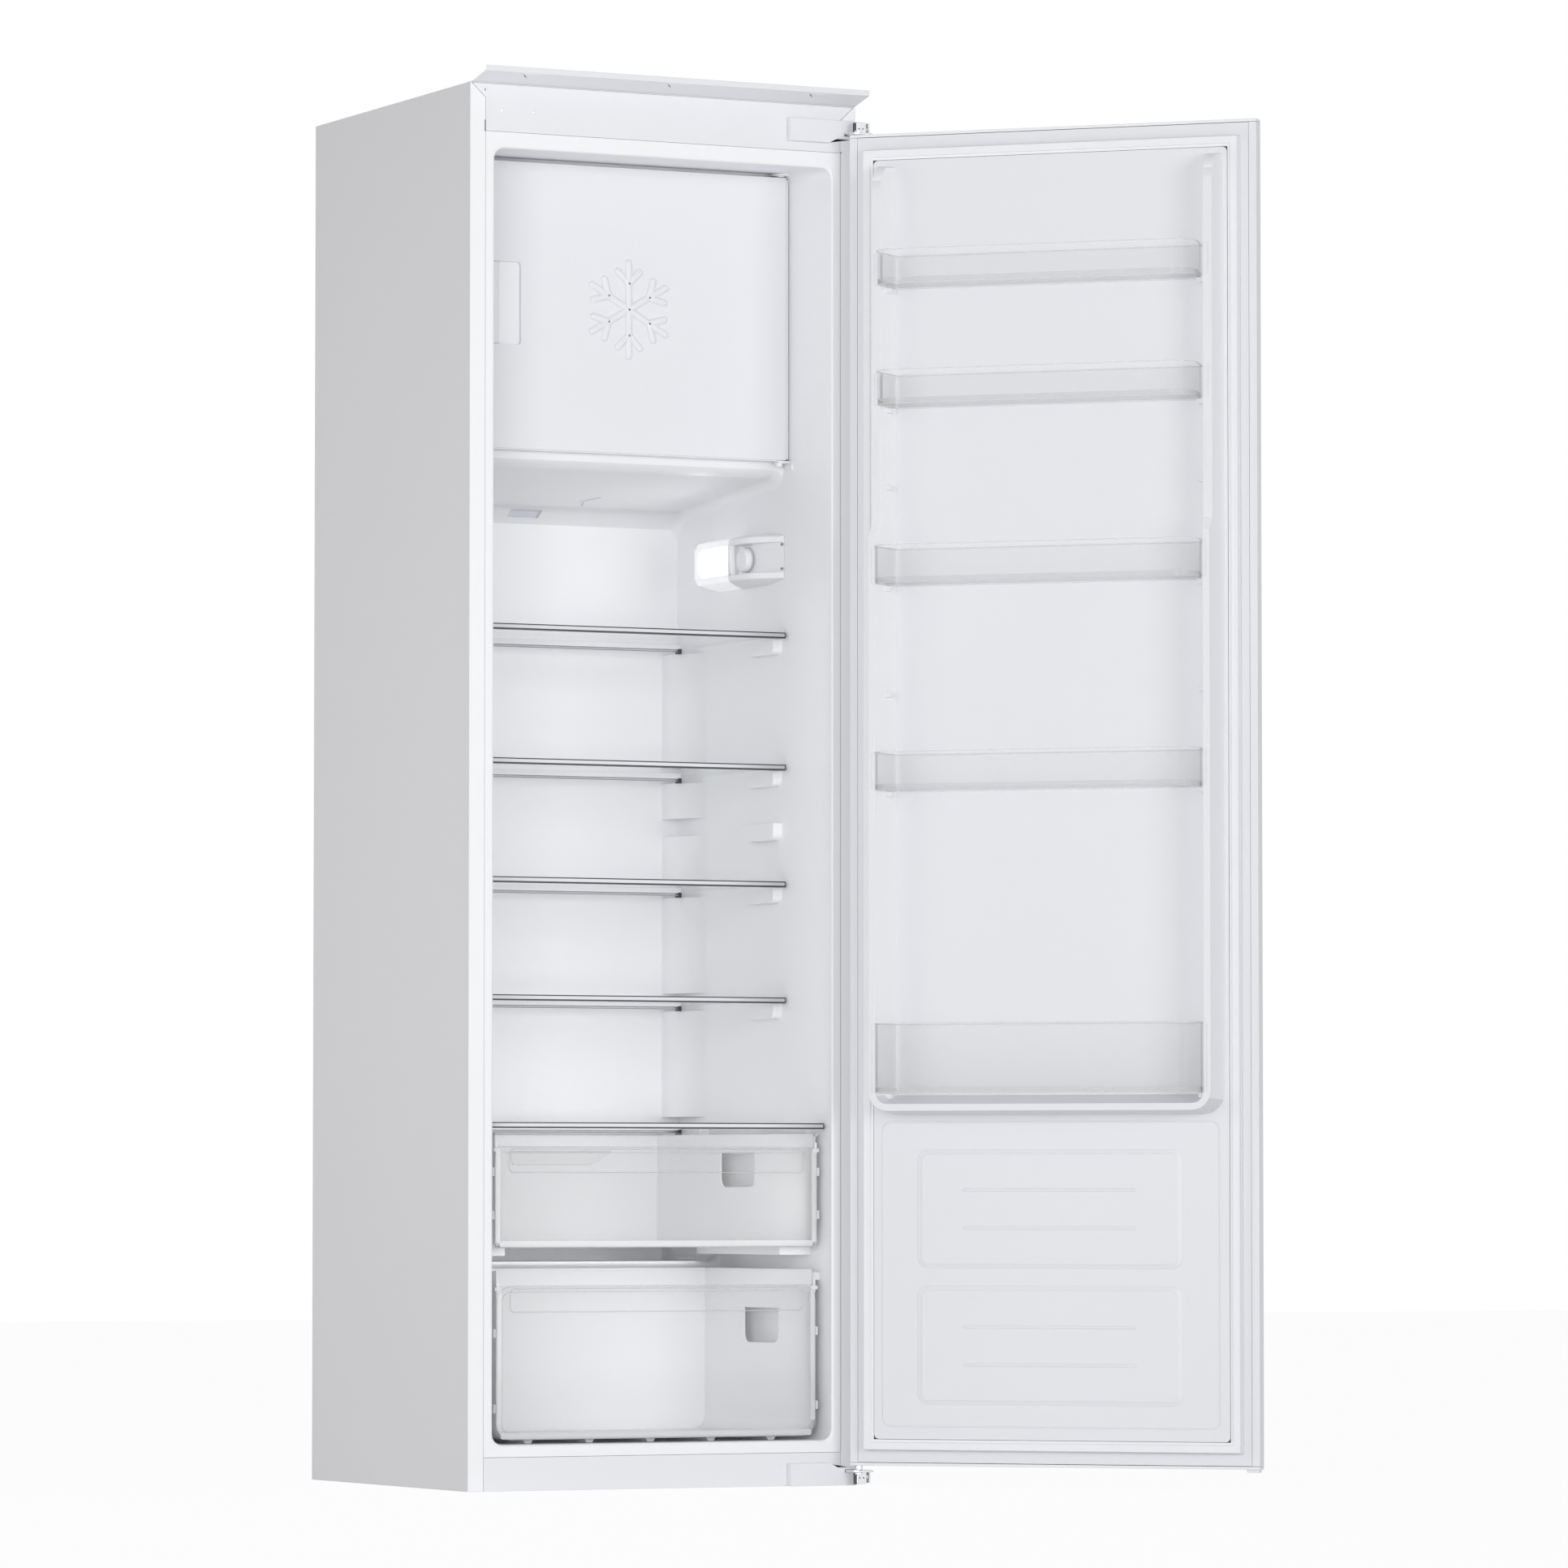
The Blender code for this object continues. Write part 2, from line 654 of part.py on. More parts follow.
def outer_shell(look):
    made = piece(
        "outer_shell", [box(-HALF, HALF, behind(0), behind(CABINET_DEPTH), 0, CABINET_HEIGHT)], look
    )
    inner = HALF - STEEL
    cut(
        made,
        "inside",
        [
            box(
                -inner,
                inner,
                behind(STEEL),
                behind(CABINET_DEPTH + OVERRUN),
                -OVERRUN,
                CABINET_HEIGHT - STEEL,
            )
        ],
    )
    cut(
        made,
        "window",
        [prism("y", window_outline(-2 * OVERRUN, 0), behind(-OVERRUN), behind(STEEL + OVERRUN))],
    )


def top_fascia(look):
    outline = window_outline(TOP_SEAM, GAP)
    made = piece("top_fascia", [prism("y", outline, behind(0), behind(FASCIA_DEPTH))], look)
    first = -HALF + FASCIA_HOLE_FIRST
    height = CABINET_HEIGHT - FASCIA_HOLE_DROP
    layers = [
        (behind(-OVERRUN), FASCIA_HOLE_RADIUS),
        (behind(FASCIA_DEPTH + OVERRUN), FASCIA_HOLE_RADIUS),
    ]
    holes = [
        turned("y", (x, height), layers, TUBE_SIDES) for x in (first, first + FASCIA_HOLE_PITCH)
    ]
    cut(made, "holes", holes)


def bottom_fascia(look):
    half = WINDOW_HALF - GAP
    piece(
        "bottom_fascia",
        [box(-half, half, behind(0), behind(FASCIA_DEPTH), 0, BOTTOM_FASCIA_HEIGHT)],
        look,
    )


def top_trim(look):
    seat = CABINET_HEIGHT + GAP
    crest = seat + TRIM_RISE
    profile = [
        (behind(TRIM_SEAT), seat),
        (behind(0), seat),
        (behind(-TRIM_REACH), crest),
        (behind(-TRIM_REACH), crest + TRIM_LIP),
        (behind(-TRIM_REACH + TRIM_SHEET), crest + TRIM_LIP),
        (behind(-TRIM_REACH + TRIM_SHEET), crest + TRIM_SHEET),
        (behind(0), seat + TRIM_SHEET),
        (behind(TRIM_SEAT), seat + TRIM_SHEET),
    ]
    made = piece("top_trim", [prism("x", profile, -HALF + TRIM_INSET, HALF)], look)
    gusset = [
        (behind(0), seat + TRIM_SHEET / 2),
        (behind(-TRIM_REACH + TRIM_SHEET / 2), crest + TRIM_SHEET / 2),
        (behind(-TRIM_REACH + TRIM_SHEET / 2), crest + TRIM_LIP),
    ]
    join(made, "gusset", [prism("x", gusset, HALF - TRIM_SHEET, HALF - TRIM_SHEET / 4)])


def cavity_rings(grow, front):
    """The larder's inside as rings from front to back, moved out by grow."""

    def ring(depth, half, floor, ceiling):
        outline = rounded(-half - grow, half + grow, floor - grow, ceiling + grow, CAVITY_CORNER + grow)
        return [place("y", pair, behind(depth)) for pair in outline]

    turns = [math.radians(degrees) for degrees in ROUND_DEGREES]
    rings = [ring(front, MOUTH_HALF, MOUTH_FLOOR, MOUTH_CEILING)]
    for turn in turns:
        depth = MOUTH_ROUND * (1 - math.cos(turn))
        drop = MOUTH_ROUND * math.sin(turn)
        floor = MOUTH_FLOOR + FLOOR_LIP * math.sin(turn)
        if depth > front:
            rings.append(ring(depth, MOUTH_HALF - drop, floor, MOUTH_CEILING - drop))
    depth = NOSE_DEPTH - NOSE_DRAFT + grow
    rings.append(ring(depth, wall_half(depth), CAVITY_FLOOR, CAVITY_CEILING + CEILING_RISE))
    for turn in turns:
        depth = NOSE_DEPTH + NOSE_ROUND_DEPTH - (NOSE_ROUND_DEPTH - grow) * math.cos(turn)
        drop = (NOSE_ROUND_HEIGHT - grow) * math.sin(turn)
        ceiling = NOSE_HEIGHT - drop - grow
        rings.append(ring(depth, wall_half(depth), CAVITY_FLOOR, ceiling))
    slope = (NOSE_HEIGHT - NOSE_ROUND_HEIGHT - CHAMFER_TOP) / (
        CAVITY_DEPTH - CHAMFER_DEPTH - NOSE_DEPTH - NOSE_ROUND_DEPTH
    )

    def sloped(depth):
        return CHAMFER_TOP + slope * (CAVITY_DEPTH - CHAMFER_DEPTH - depth)

    depth = HUMP_FRONT - HUMP_DRAFT + grow
    rings.append(ring(depth, wall_half(depth), CAVITY_FLOOR, sloped(depth)))
    for turn in turns:
        depth = HUMP_FRONT + HUMP_ROUND - (HUMP_ROUND - grow) * math.cos(turn)
        rise = (HUMP_ROUND - grow) * math.sin(turn)
        floor = HUMP_TOP - HUMP_ROUND + rise + grow
        rings.append(ring(depth, wall_half(depth), floor, sloped(depth)))
    depth = CAVITY_DEPTH - CHAMFER_DEPTH
    rings.append(ring(depth, wall_half(depth), HUMP_TOP, CHAMFER_TOP))
    rings.append(ring(CAVITY_DEPTH + grow, wall_half(CAVITY_DEPTH), HUMP_TOP, CHAMFER_FOOT))
    return rings


def pocket(grow, front):
    """The icebox's room in the foam, moved out by grow."""
    half = POCKET_HALF + grow
    outline = rounded(
        -half, half, POCKET_FLOOR - grow, POCKET_CEILING + grow, POCKET_CORNER + grow
    )
    return prism("y", outline, behind(front), behind(POCKET_REAR + grow))


def wall_block(front, rear, low, high, half, corner=0):
    """A block on the right wall, in as far as half from the middle."""
    outline = eased(
        [
            (behind(front), low, corner),
            (behind(rear), low, corner),
            (behind(rear), high, 0),
            (behind(front), high, 0),
        ]
    )
    middle = (front + rear) / 2
    return prism("x", outline, half, wall_half(middle) + MOULDING / 2)


def lug_half(front, rear, proud):
    return wall_half((front + rear) / 2) - proud


def liner_supports():
    """The lugs, ledges and corner columns of the right wall."""
    half = lug_half(LUG_FRONT, LUG_REAR, LUG_PROUD)
    shells = [
        wall_block(LUG_FRONT, LUG_REAR, top - LUG_HEIGHT, top, half, LUG_CORNER)
        for top in LUG_TOPS
    ]
    half = lug_half(FRONT_LUG_START, FRONT_LUG_END, FRONT_LUG_PROUD)
    low = DRAWER_SHELF_SEAT - FRONT_LUG_HEIGHT
    shells.append(wall_block(FRONT_LUG_START, FRONT_LUG_END, low, DRAWER_SHELF_SEAT, half))
    half = lug_half(GUIDE_FRONT, GUIDE_END, GUIDE_PROUD)
    shells.append(wall_block(GUIDE_FRONT, GUIDE_END, GUIDE_TOP - GUIDE_HEIGHT, GUIDE_TOP, half))
    top = UPPER_LOW - GAP
    rear_half = wall_half(LEDGE_END) + MOULDING / 2
    front_half = wall_half(LEDGE_FRONT) + MOULDING / 2
    ledge = [
        (LEDGE_HALF, behind(LEDGE_FRONT)),
        (front_half, behind(LEDGE_FRONT)),
        (rear_half, behind(LEDGE_END)),
        (LEDGE_HALF, behind(LEDGE_END)),
    ]
    shells.append(prism("z", ledge, top - LEDGE_HEIGHT, top))
    return shells


def column_plan(inset):
    """The corner column's outline, its wall side moved in by inset."""
    rear = CAVITY_DEPTH + MOULDING / 2
    face = wall_half(CAVITY_DEPTH) - COLUMN_PROUD
    return [
        (wall_half(COLUMN_START) + MOULDING / 2 - inset, behind(COLUMN_START)),
        (face, behind(COLUMN_FACE)),
        (face, behind(rear)),
        (wall_half(CAVITY_DEPTH) + MOULDING / 2 - inset, behind(rear)),
    ]


def corner_columns():
    """The rear corner's column, cut away where each shelf's corner sits."""
    reach = CAVITY_CORNER + MOULDING / 2
    layers = []
    for degrees in reversed(ROUND_DEGREES):
        turn = math.radians(degrees)
        z = HUMP_TOP + CAVITY_CORNER - reach * math.sin(turn)
        layers.append((z, column_plan(reach * (1 - math.cos(turn)))))
    shells = []
    for seat in sorted((*LUG_TOPS, DRAWER_SHELF_SEAT)):
        shells.append(stack("z", [*layers, (seat - NOTCH_BELOW, column_plan(0))], split=True))
        layers = [(seat + NOTCH_ABOVE, column_plan(0))]
    return shells


def rear_lug():
    """The block that carries the drawer shelf's rear corner."""
    half = wall_half(CAVITY_DEPTH) - REAR_LUG_PROUD
    bite = MOULDING / 4
    rear = CAVITY_DEPTH + bite
    low = DRAWER_SHELF_SEAT - LUG_HEIGHT
    outline = [
        (half, behind(REAR_LUG_START)),
        (wall_half(REAR_LUG_START) + bite, behind(REAR_LUG_START)),
        (wall_half(CAVITY_DEPTH) + bite, behind(rear)),
        (half, behind(rear)),
    ]
    return prism("z", outline, low, DRAWER_SHELF_SEAT)


def inner_liner(look):
    half = WINDOW_HALF - GAP
    low = BOTTOM_FASCIA_HEIGHT + GAP
    flange = box(-half, half, behind(0), behind(MOULDING), low, TOP_SEAM - GAP)
    made = piece("inner_liner", [flange], look)
    join(made, "outside", [loft(cavity_rings(MOULDING, MOULDING / 2))])
    join(made, "pocket_outside", [pocket(MOULDING, NOSE_DEPTH - OVERRUN)])
    cut(made, "inside", [loft(cavity_rings(0, -OVERRUN))])
    cut(made, "pocket_inside", [pocket(0, NOSE_DEPTH - OVERRUN)])
    join(made, "supports", both_sides(liner_supports()))
    join(made, "columns", both_sides(corner_columns()))
    join(made, "rear_lugs", both_sides([rear_lug()]))


def evaporator_box(look):
    made = piece("evaporator_box", [pocket(-GAP, NOSE_DEPTH + GAP)], look)
    cut(made, "inside", [pocket(-GAP - EVAPORATOR_SHEET, NOSE_DEPTH - OVERRUN)])


def insulation_foam(look):
    half = HALF - STEEL - GAP
    top = CABINET_HEIGHT - STEEL - GAP
    rear = CABINET_DEPTH - STEEL - GAP
    air = MOULDING + GAP
    body = box(-half, half, behind(air), behind(rear), BASE_THICKNESS + GAP, top)
    made = piece("insulation_foam", [body], look)
    cut(made, "larder", [loft(cavity_rings(air, -OVERRUN))])
    cut(made, "pocket", [pocket(air, NOSE_DEPTH - OVERRUN)])
    front = behind(-OVERRUN)
    fascia = behind(FASCIA_DEPTH + GAP)
    seam = TOP_SEAM - GAP
    rear = behind(CABINET_DEPTH + OVERRUN)
    cut(
        made,
        "rooms",
        [
            box(-HALF, HALF, front, fascia, seam, CABINET_HEIGHT),
            box(-HALF, HALF, front, fascia, -OVERRUN, BOTTOM_FASCIA_HEIGHT + GAP),
            box(-BAY_HALF, BAY_HALF, behind(BAY_FRONT), rear, -OVERRUN, BAY_TOP),
        ],
    )


def base_tray(look):
    half = HALF - STEEL - GAP
    front = FASCIA_DEPTH + GAP
    piece("base_tray", [box(-half, half, behind(front), behind(CABINET_DEPTH), 0, BASE_THICKNESS)], look)


# Coil, its wires, and the panel they stand on


def coil_height(row):
    return COIL_LOW + COIL_PITCH * row


def back_panel(look):
    half = HALF - STEEL - GAP
    front = CABINET_DEPTH - STEEL
    top = CABINET_HEIGHT - STEEL - GAP
    made = piece(
        "back_panel", [box(-half, half, behind(front), behind(CABINET_DEPTH), BAY_TOP, top)], look
    )
    reach = CABINET_DEPTH + COIL_BACK - TUBE_RADIUS - GAP
    posts = []
    for row in (0, COIL_PASSES // 2, COIL_PASSES - 1):
        low = coil_height(row) - POST_SIZE / 2
        for x in (-COIL_HALF * 3 / 4, COIL_HALF * 3 / 4):
            side = POST_SIZE / 2
            posts.append(
                box(x - side, x + side, behind(front + STEEL / 2), behind(reach), low, low + POST_SIZE)
            )
    join(made, "posts", posts)


def condenser_tube(look):
    """The winding tube, from the compressor's side up, and back down to the drier."""
    y = behind(COIL_DEPTH)
    feed = behind(BAY_MIDDLE)
    corners = [
        (COMPRESSOR_RADIUS + GAP, feed, FEED_HEIGHT),
        (FEED_SIDE, feed, FEED_HEIGHT),
        (FEED_SIDE, y, FEED_HEIGHT),
        (FEED_SIDE, y, TAIL_HEIGHT),
        (COIL_HALF, y, TAIL_HEIGHT),
    ]
    side = COIL_HALF
    for row in range(COIL_PASSES):
        corners += [(side, y, coil_height(row)), (-side, y, coil_height(row))]
        side = -side
    edge = math.copysign(COIL_HALF + COIL_PITCH / 4, -side)
    corners[-1] = (edge, y, coil_height(COIL_PASSES - 1))
    corners.append((edge, y, TAIL_HEIGHT))
    piece("condenser_tube", [swept(bent(corners, TUBE_BEND), TUBE_RADIUS)], look, smooth=True)
    return edge


def condenser_wires(look):
    front = behind(COIL_DEPTH + TUBE_RADIUS + GAP)
    low = coil_height(0) - WIRE_MARGIN
    high = coil_height(COIL_PASSES - 1) + WIRE_MARGIN
    half = COIL_HALF - WIRE_MARGIN
    uprights = []
    for i in range(WIRES):
        x = -half + 2 * half * i / (WIRES - 1)
        uprights.append(box(x - WIRE / 2, x + WIRE / 2, front, front + WIRE, low, high))
    made = piece("condenser_wires", uprights, look)
    crossings = []
    for i in range(CROSS_WIRES):
        z = low + (high - low) * (i + 1) / (CROSS_WIRES + 1)
        cross_front = front + WIRE / 2
        crossings.append(
            box(-half - WIRE, half + WIRE, cross_front, cross_front + WIRE, z - WIRE / 2, z + WIRE / 2)
        )
    join(made, "cross_wires", crossings)


def filter_drier(look, x):
    high = TAIL_HEIGHT - GAP
    layers = [
        (high - DRIER_LENGTH, TUBE_RADIUS),
        (high - DRIER_LENGTH + DRIER_NECK, DRIER_RADIUS),
        (high - DRIER_NECK, DRIER_RADIUS),
        (high, TUBE_RADIUS),
    ]
    piece("filter_drier", [turned("z", (x, behind(COIL_DEPTH)), layers)], look, smooth=True)


def compressor(look):
    low = BASE_THICKNESS + GAP
    layers = [
        (low + COMPRESSOR_HEIGHT * height, COMPRESSOR_RADIUS * radius)
        for height, radius in zip(COMPRESSOR_HEIGHT_SHARES, COMPRESSOR_RADIUS_SHARES)
    ]
    piece("compressor", [turned("z", (0, behind(BAY_MIDDLE)), layers)], look, smooth=True)


def drip_tray(look):
    low = BASE_THICKNESS + COMPRESSOR_HEIGHT + 2 * GAP
    high = low + TRAY_HEIGHT
    half, y = TRAY_LENGTH / 2, behind(BAY_MIDDLE)
    front, rear = y - TRAY_WIDTH / 2, y + TRAY_WIDTH / 2
    made = piece(
        "drip_tray", [prism("z", rounded(-half, half, front, rear, TRAY_CORNER), low, high)], look
    )
    inside = rounded(
        -half + TRAY_WALL,
        half - TRAY_WALL,
        front + TRAY_WALL,
        rear - TRAY_WALL,
        TRAY_CORNER - TRAY_WALL,
    )
    cut(made, "inside", [prism("z", inside, low + TRAY_WALL, high + OVERRUN)])
    return high


def drain_tube(look, tray_top):
    low, high = tray_top + DRAIN_AIR, BAY_TOP - GAP
    place_of = (0, behind(BAY_MIDDLE))
    made = piece(
        "drain_tube", [turned("z", place_of, [(low, DRAIN_RADIUS), (high, DRAIN_RADIUS)])], look
    )
    bore = DRAIN_RADIUS - DRAIN_WALL
    cut(made, "bore", [turned("z", place_of, [(low - OVERRUN, bore), (high + OVERRUN, bore)])])


# Icebox door and its pins


def icebox_door(look, inner_look, metal):
    half, wall = ICEBOX_DOOR_HALF, ICEBOX_DOOR_WALL
    front = ICEBOX_DOOR_FRONT
    rear = front + ICEBOX_DOOR_THICKNESS
    low, high = ICEBOX_DOOR_LOW, ICEBOX_DOOR_HIGH
    pin = (half - ICEBOX_PIN_INSET, behind(front + ICEBOX_PIN_BACK))
    hinge = pivot("icebox_door_pivot", (*pin, low))
    outer = piece(
        "icebox_door_outer", [box(-half, half, behind(front), behind(rear), low, high)], look, hinge
    )
    face = front + ICEBOX_DOOR_FACE
    inner_half = half - wall
    cut(
        outer,
        "inside",
        [
            box(
                -inner_half, inner_half, behind(face), behind(rear + OVERRUN), low + wall, high - wall
            )
        ],
    )
    edge = -half - GRIP_CORNER - OVERRUN
    grip = rounded(edge, -half + GRIP_WIDTH, GRIP_LOW, GRIP_HIGH, GRIP_CORNER)
    levels = (behind(front - OVERRUN), behind(front + GRIP_DEPTH))
    cut(outer, "grip", [prism("y", grip, *levels)])
    inset = inner_half - GAP
    inner = piece(
        "icebox_door_inner",
        [
            box(
                -inset, inset, behind(face + GAP), behind(rear), low + wall + GAP, high - wall - GAP
            )
        ],
        inner_look,
        hinge,
    )
    bore = ICEBOX_PIN_RADIUS + GAP
    reach = ICEBOX_PIN_GRIP + GAP
    holes = [
        turned("z", pin, [(low - OVERRUN, bore), (low + reach, bore)]),
        turned("z", pin, [(high - reach, bore), (high + OVERRUN, bore)]),
    ]
    cut(outer, "pin_holes", holes)
    cut(inner, "pin_holes", holes)
    side = ICEBOX_PLATE_WIDTH / 2
    edges = (pin[1] - ICEBOX_PLATE_DEPTH / 2, pin[1] + ICEBOX_PLATE_DEPTH / 2)
    wall_edge = wall_half(rear) - GAP
    top = low - ICEBOX_PLATE_AIR
    plate = box(pin[0] - side, wall_edge, *edges, top - ICEBOX_PLATE_HEIGHT, top)
    lower = piece("icebox_pin_lower", [plate], metal)
    layers = [(top - BITE, ICEBOX_PIN_RADIUS), (low + ICEBOX_PIN_GRIP, ICEBOX_PIN_RADIUS)]
    join(lower, "pin", [turned("z", pin, layers)])
    foot = high + ICEBOX_PLATE_AIR
    plate = box(pin[0] - side, pin[0] + side, *edges, foot, foot + ICEBOX_PLATE_HEIGHT)
    upper = piece("icebox_pin_upper", [plate], metal)
    layers = [(high - ICEBOX_PIN_GRIP, ICEBOX_PIN_RADIUS), (foot + BITE, ICEBOX_PIN_RADIUS)]
    join(upper, "pin", [turned("z", pin, layers)])


# Lamp and thermostat


def lamp_place(depth, proud):
    """A place beside the right wall, this deep in the cavity and this proud of the wall."""
    return wall_half(depth) - proud, behind(depth)


def housing_plan(inset):
    """The housing's outline, which rises from the wall on a ramp, inset from its proud face."""
    ramp_top = LAMP_FRONT + LAMP_RAMP
    return eased(
        [
            (*lamp_place(LAMP_FRONT, GAP), 0),
            (*lamp_place(LAMP_SPLIT, GAP), 0),
            (*lamp_place(LAMP_SPLIT, LAMP_PROUD - inset), 0),
            (*lamp_place(ramp_top, LAMP_PROUD - LAMP_EASE - inset), LAMP_BEND),
            (*lamp_place(LAMP_FRONT, LAMP_NOSE), 0),
        ]
    )


def lens_plan(front, rear, inset):
    """The lens's outline with its round rear corner, inset from its proud face."""
    return eased(
        [
            (*lamp_place(front, GAP), 0),
            (*lamp_place(rear, GAP), 0),
            (*lamp_place(rear, LAMP_PROUD - inset), LAMP_CORNER - inset),
            (*lamp_place(front, LAMP_PROUD - inset), 0),
        ]
    )


def bevelled(outline, wall=0):
    """The lamp's solid over its height, from its outline as a function of the inset."""
    low, high = LAMP_LOW + wall, LAMP_HIGH - wall
    return stack(
        "z",
        [
            (low, outline(LAMP_BEVEL + wall)),
            (low + LAMP_BEVEL, outline(wall)),
            (high - LAMP_BEVEL, outline(wall)),
            (high, outline(LAMP_BEVEL + wall)),
        ],
    )


def lamp_housing(look):
    made = piece("lamp_housing", [bevelled(housing_plan)], look)
    proud = LAMP_PROUD + OVERRUN
    recess = [
        lamp_place(LAMP_FRONT - OVERRUN, LAMP_FLOOR_NOSE),
        lamp_place(LAMP_SPLIT + OVERRUN, LAMP_FLOOR),
        lamp_place(LAMP_SPLIT + OVERRUN, proud),
        lamp_place(LAMP_FRONT - OVERRUN, proud),
    ]
    cut(made, "recess", [prism("z", recess, LAMP_LOW + LAMP_RAIL, LAMP_HIGH - LAMP_RAIL)])
    bore = KNOB_SHAFT_RADIUS + GAP
    seat = wall_half(LAMP_SPLIT) - LAMP_FLOOR
    knob_at = (behind(KNOB_PLACE), LAMP_MIDDLE)
    layers = [(seat - OVERRUN, bore), (seat + KNOB_SHAFT + GAP, bore)]
    cut(made, "shaft_hole", [turned("x", knob_at, layers)])
    return seat


def thermostat_knob(look, seat):
    top = seat - GAP
    knob_at = (behind(KNOB_PLACE), LAMP_MIDDLE)
    hinge = pivot("thermostat_knob_pivot", (top, *knob_at))
    layers = [
        (seat + KNOB_SHAFT, KNOB_SHAFT_RADIUS),
        (top, KNOB_SHAFT_RADIUS),
        (top, KNOB_RADIUS),
        (top - KNOB_HEIGHT + KNOB_EDGE, KNOB_RADIUS),
        (top - KNOB_HEIGHT, KNOB_RADIUS - KNOB_EDGE),
    ]
    piece("thermostat_knob", [turned("x", knob_at, layers)], look, hinge, smooth=True)


def lamp_lens(look):
    front = LAMP_SPLIT + GAP

    def outer(inset):
        return lens_plan(front, LAMP_REAR, inset)

    def inner(inset):
        plan = lens_plan(front + LENS_WALL, LAMP_REAR - LENS_WALL, inset)
        outside = wall_half(front) + OVERRUN
        return [(outside, plan[0][1]), (outside, plan[1][1]), *plan[2:]]

    made = piece("lamp_lens", [bevelled(outer)], look)
    cut(made, "inside", [bevelled(inner, LENS_WALL)])


def led_board(look):
    front, rear = LAMP_SPLIT + LED_INSET, LAMP_REAR - LED_INSET
    plan = [
        (wall_half(front) - GAP, behind(front)),
        (wall_half(rear) - GAP, behind(rear)),
        (wall_half(rear) - GAP - LED_BOARD, behind(rear)),
        (wall_half(front) - GAP - LED_BOARD, behind(front)),
    ]
    low, high = LAMP_MIDDLE - LED_HALF_HEIGHT, LAMP_MIDDLE + LED_HALF_HEIGHT
    piece("led_board", [prism("z", plan, low, high)], look)


# Shelves


def glass_half(depth):
    share = (depth - SHELF_FRONT) / (SHELF_REAR - SHELF_FRONT)
    return GLASS_HALF_FRONT + (GLASS_HALF_REAR - GLASS_HALF_FRONT) * share


def shelf(name, top, front, glass, metal):
    slide = pivot(f"{name}_slide", (0, behind(front), top))
    upper = top - TRIM_COVER
    lower = upper - GLASS
    near = front + TRIM_NOSE + GAP
    far = SHELF_REAR - TRIM_NOSE - GAP
    plan = [
        (-glass_half(near), behind(near)),
        (glass_half(near), behind(near)),
        (glass_half(far), behind(far)),
        (-glass_half(far), behind(far)),
    ]
    piece(f"{name}_glass", [prism("z", plan, lower, upper)], glass, slide)
    nose, lip = front + TRIM_NOSE, front + FRONT_TRIM_DEPTH
    profile = [
        (behind(front), top - TRIM_HEIGHT),
        (behind(lip), top - TRIM_HEIGHT),
        (behind(lip), lower - GAP),
        (behind(nose), lower - GAP),
        (behind(nose), upper + GAP),
        (behind(lip), upper + GAP),
        (behind(lip), top),
        (behind(front), top),
    ]
    half = glass_half(lip)
    piece(f"{name}_front_trim", [prism("x", profile, -half, half)], metal, slide)
    rear, nose, lip = SHELF_REAR, SHELF_REAR - TRIM_NOSE, SHELF_REAR - REAR_TRIM_DEPTH
    foot = lower - REAR_TRIM_DROP
    profile = [
        (behind(rear), foot),
        (behind(rear), top),
        (behind(lip), top),
        (behind(lip), upper + GAP),
        (behind(nose), upper + GAP),
        (behind(nose), lower - GAP),
        (behind(lip), lower - GAP),
        (behind(lip), lower - GAP - TRIM_COVER),
        (behind(nose), lower - GAP - TRIM_COVER),
        (behind(nose), foot),
    ]
    piece(
        f"{name}_rear_trim", [prism("x", profile, -REAR_TRIM_HALF, REAR_TRIM_HALF)], metal, slide
    )


# Drawers


def tub_ring(half, low, top, corner, depth):
    corners = [(-half, low, corner), (half, low, corner), (half, top, 0), (-half, top, 0)]
    return behind(depth), eased(corners)


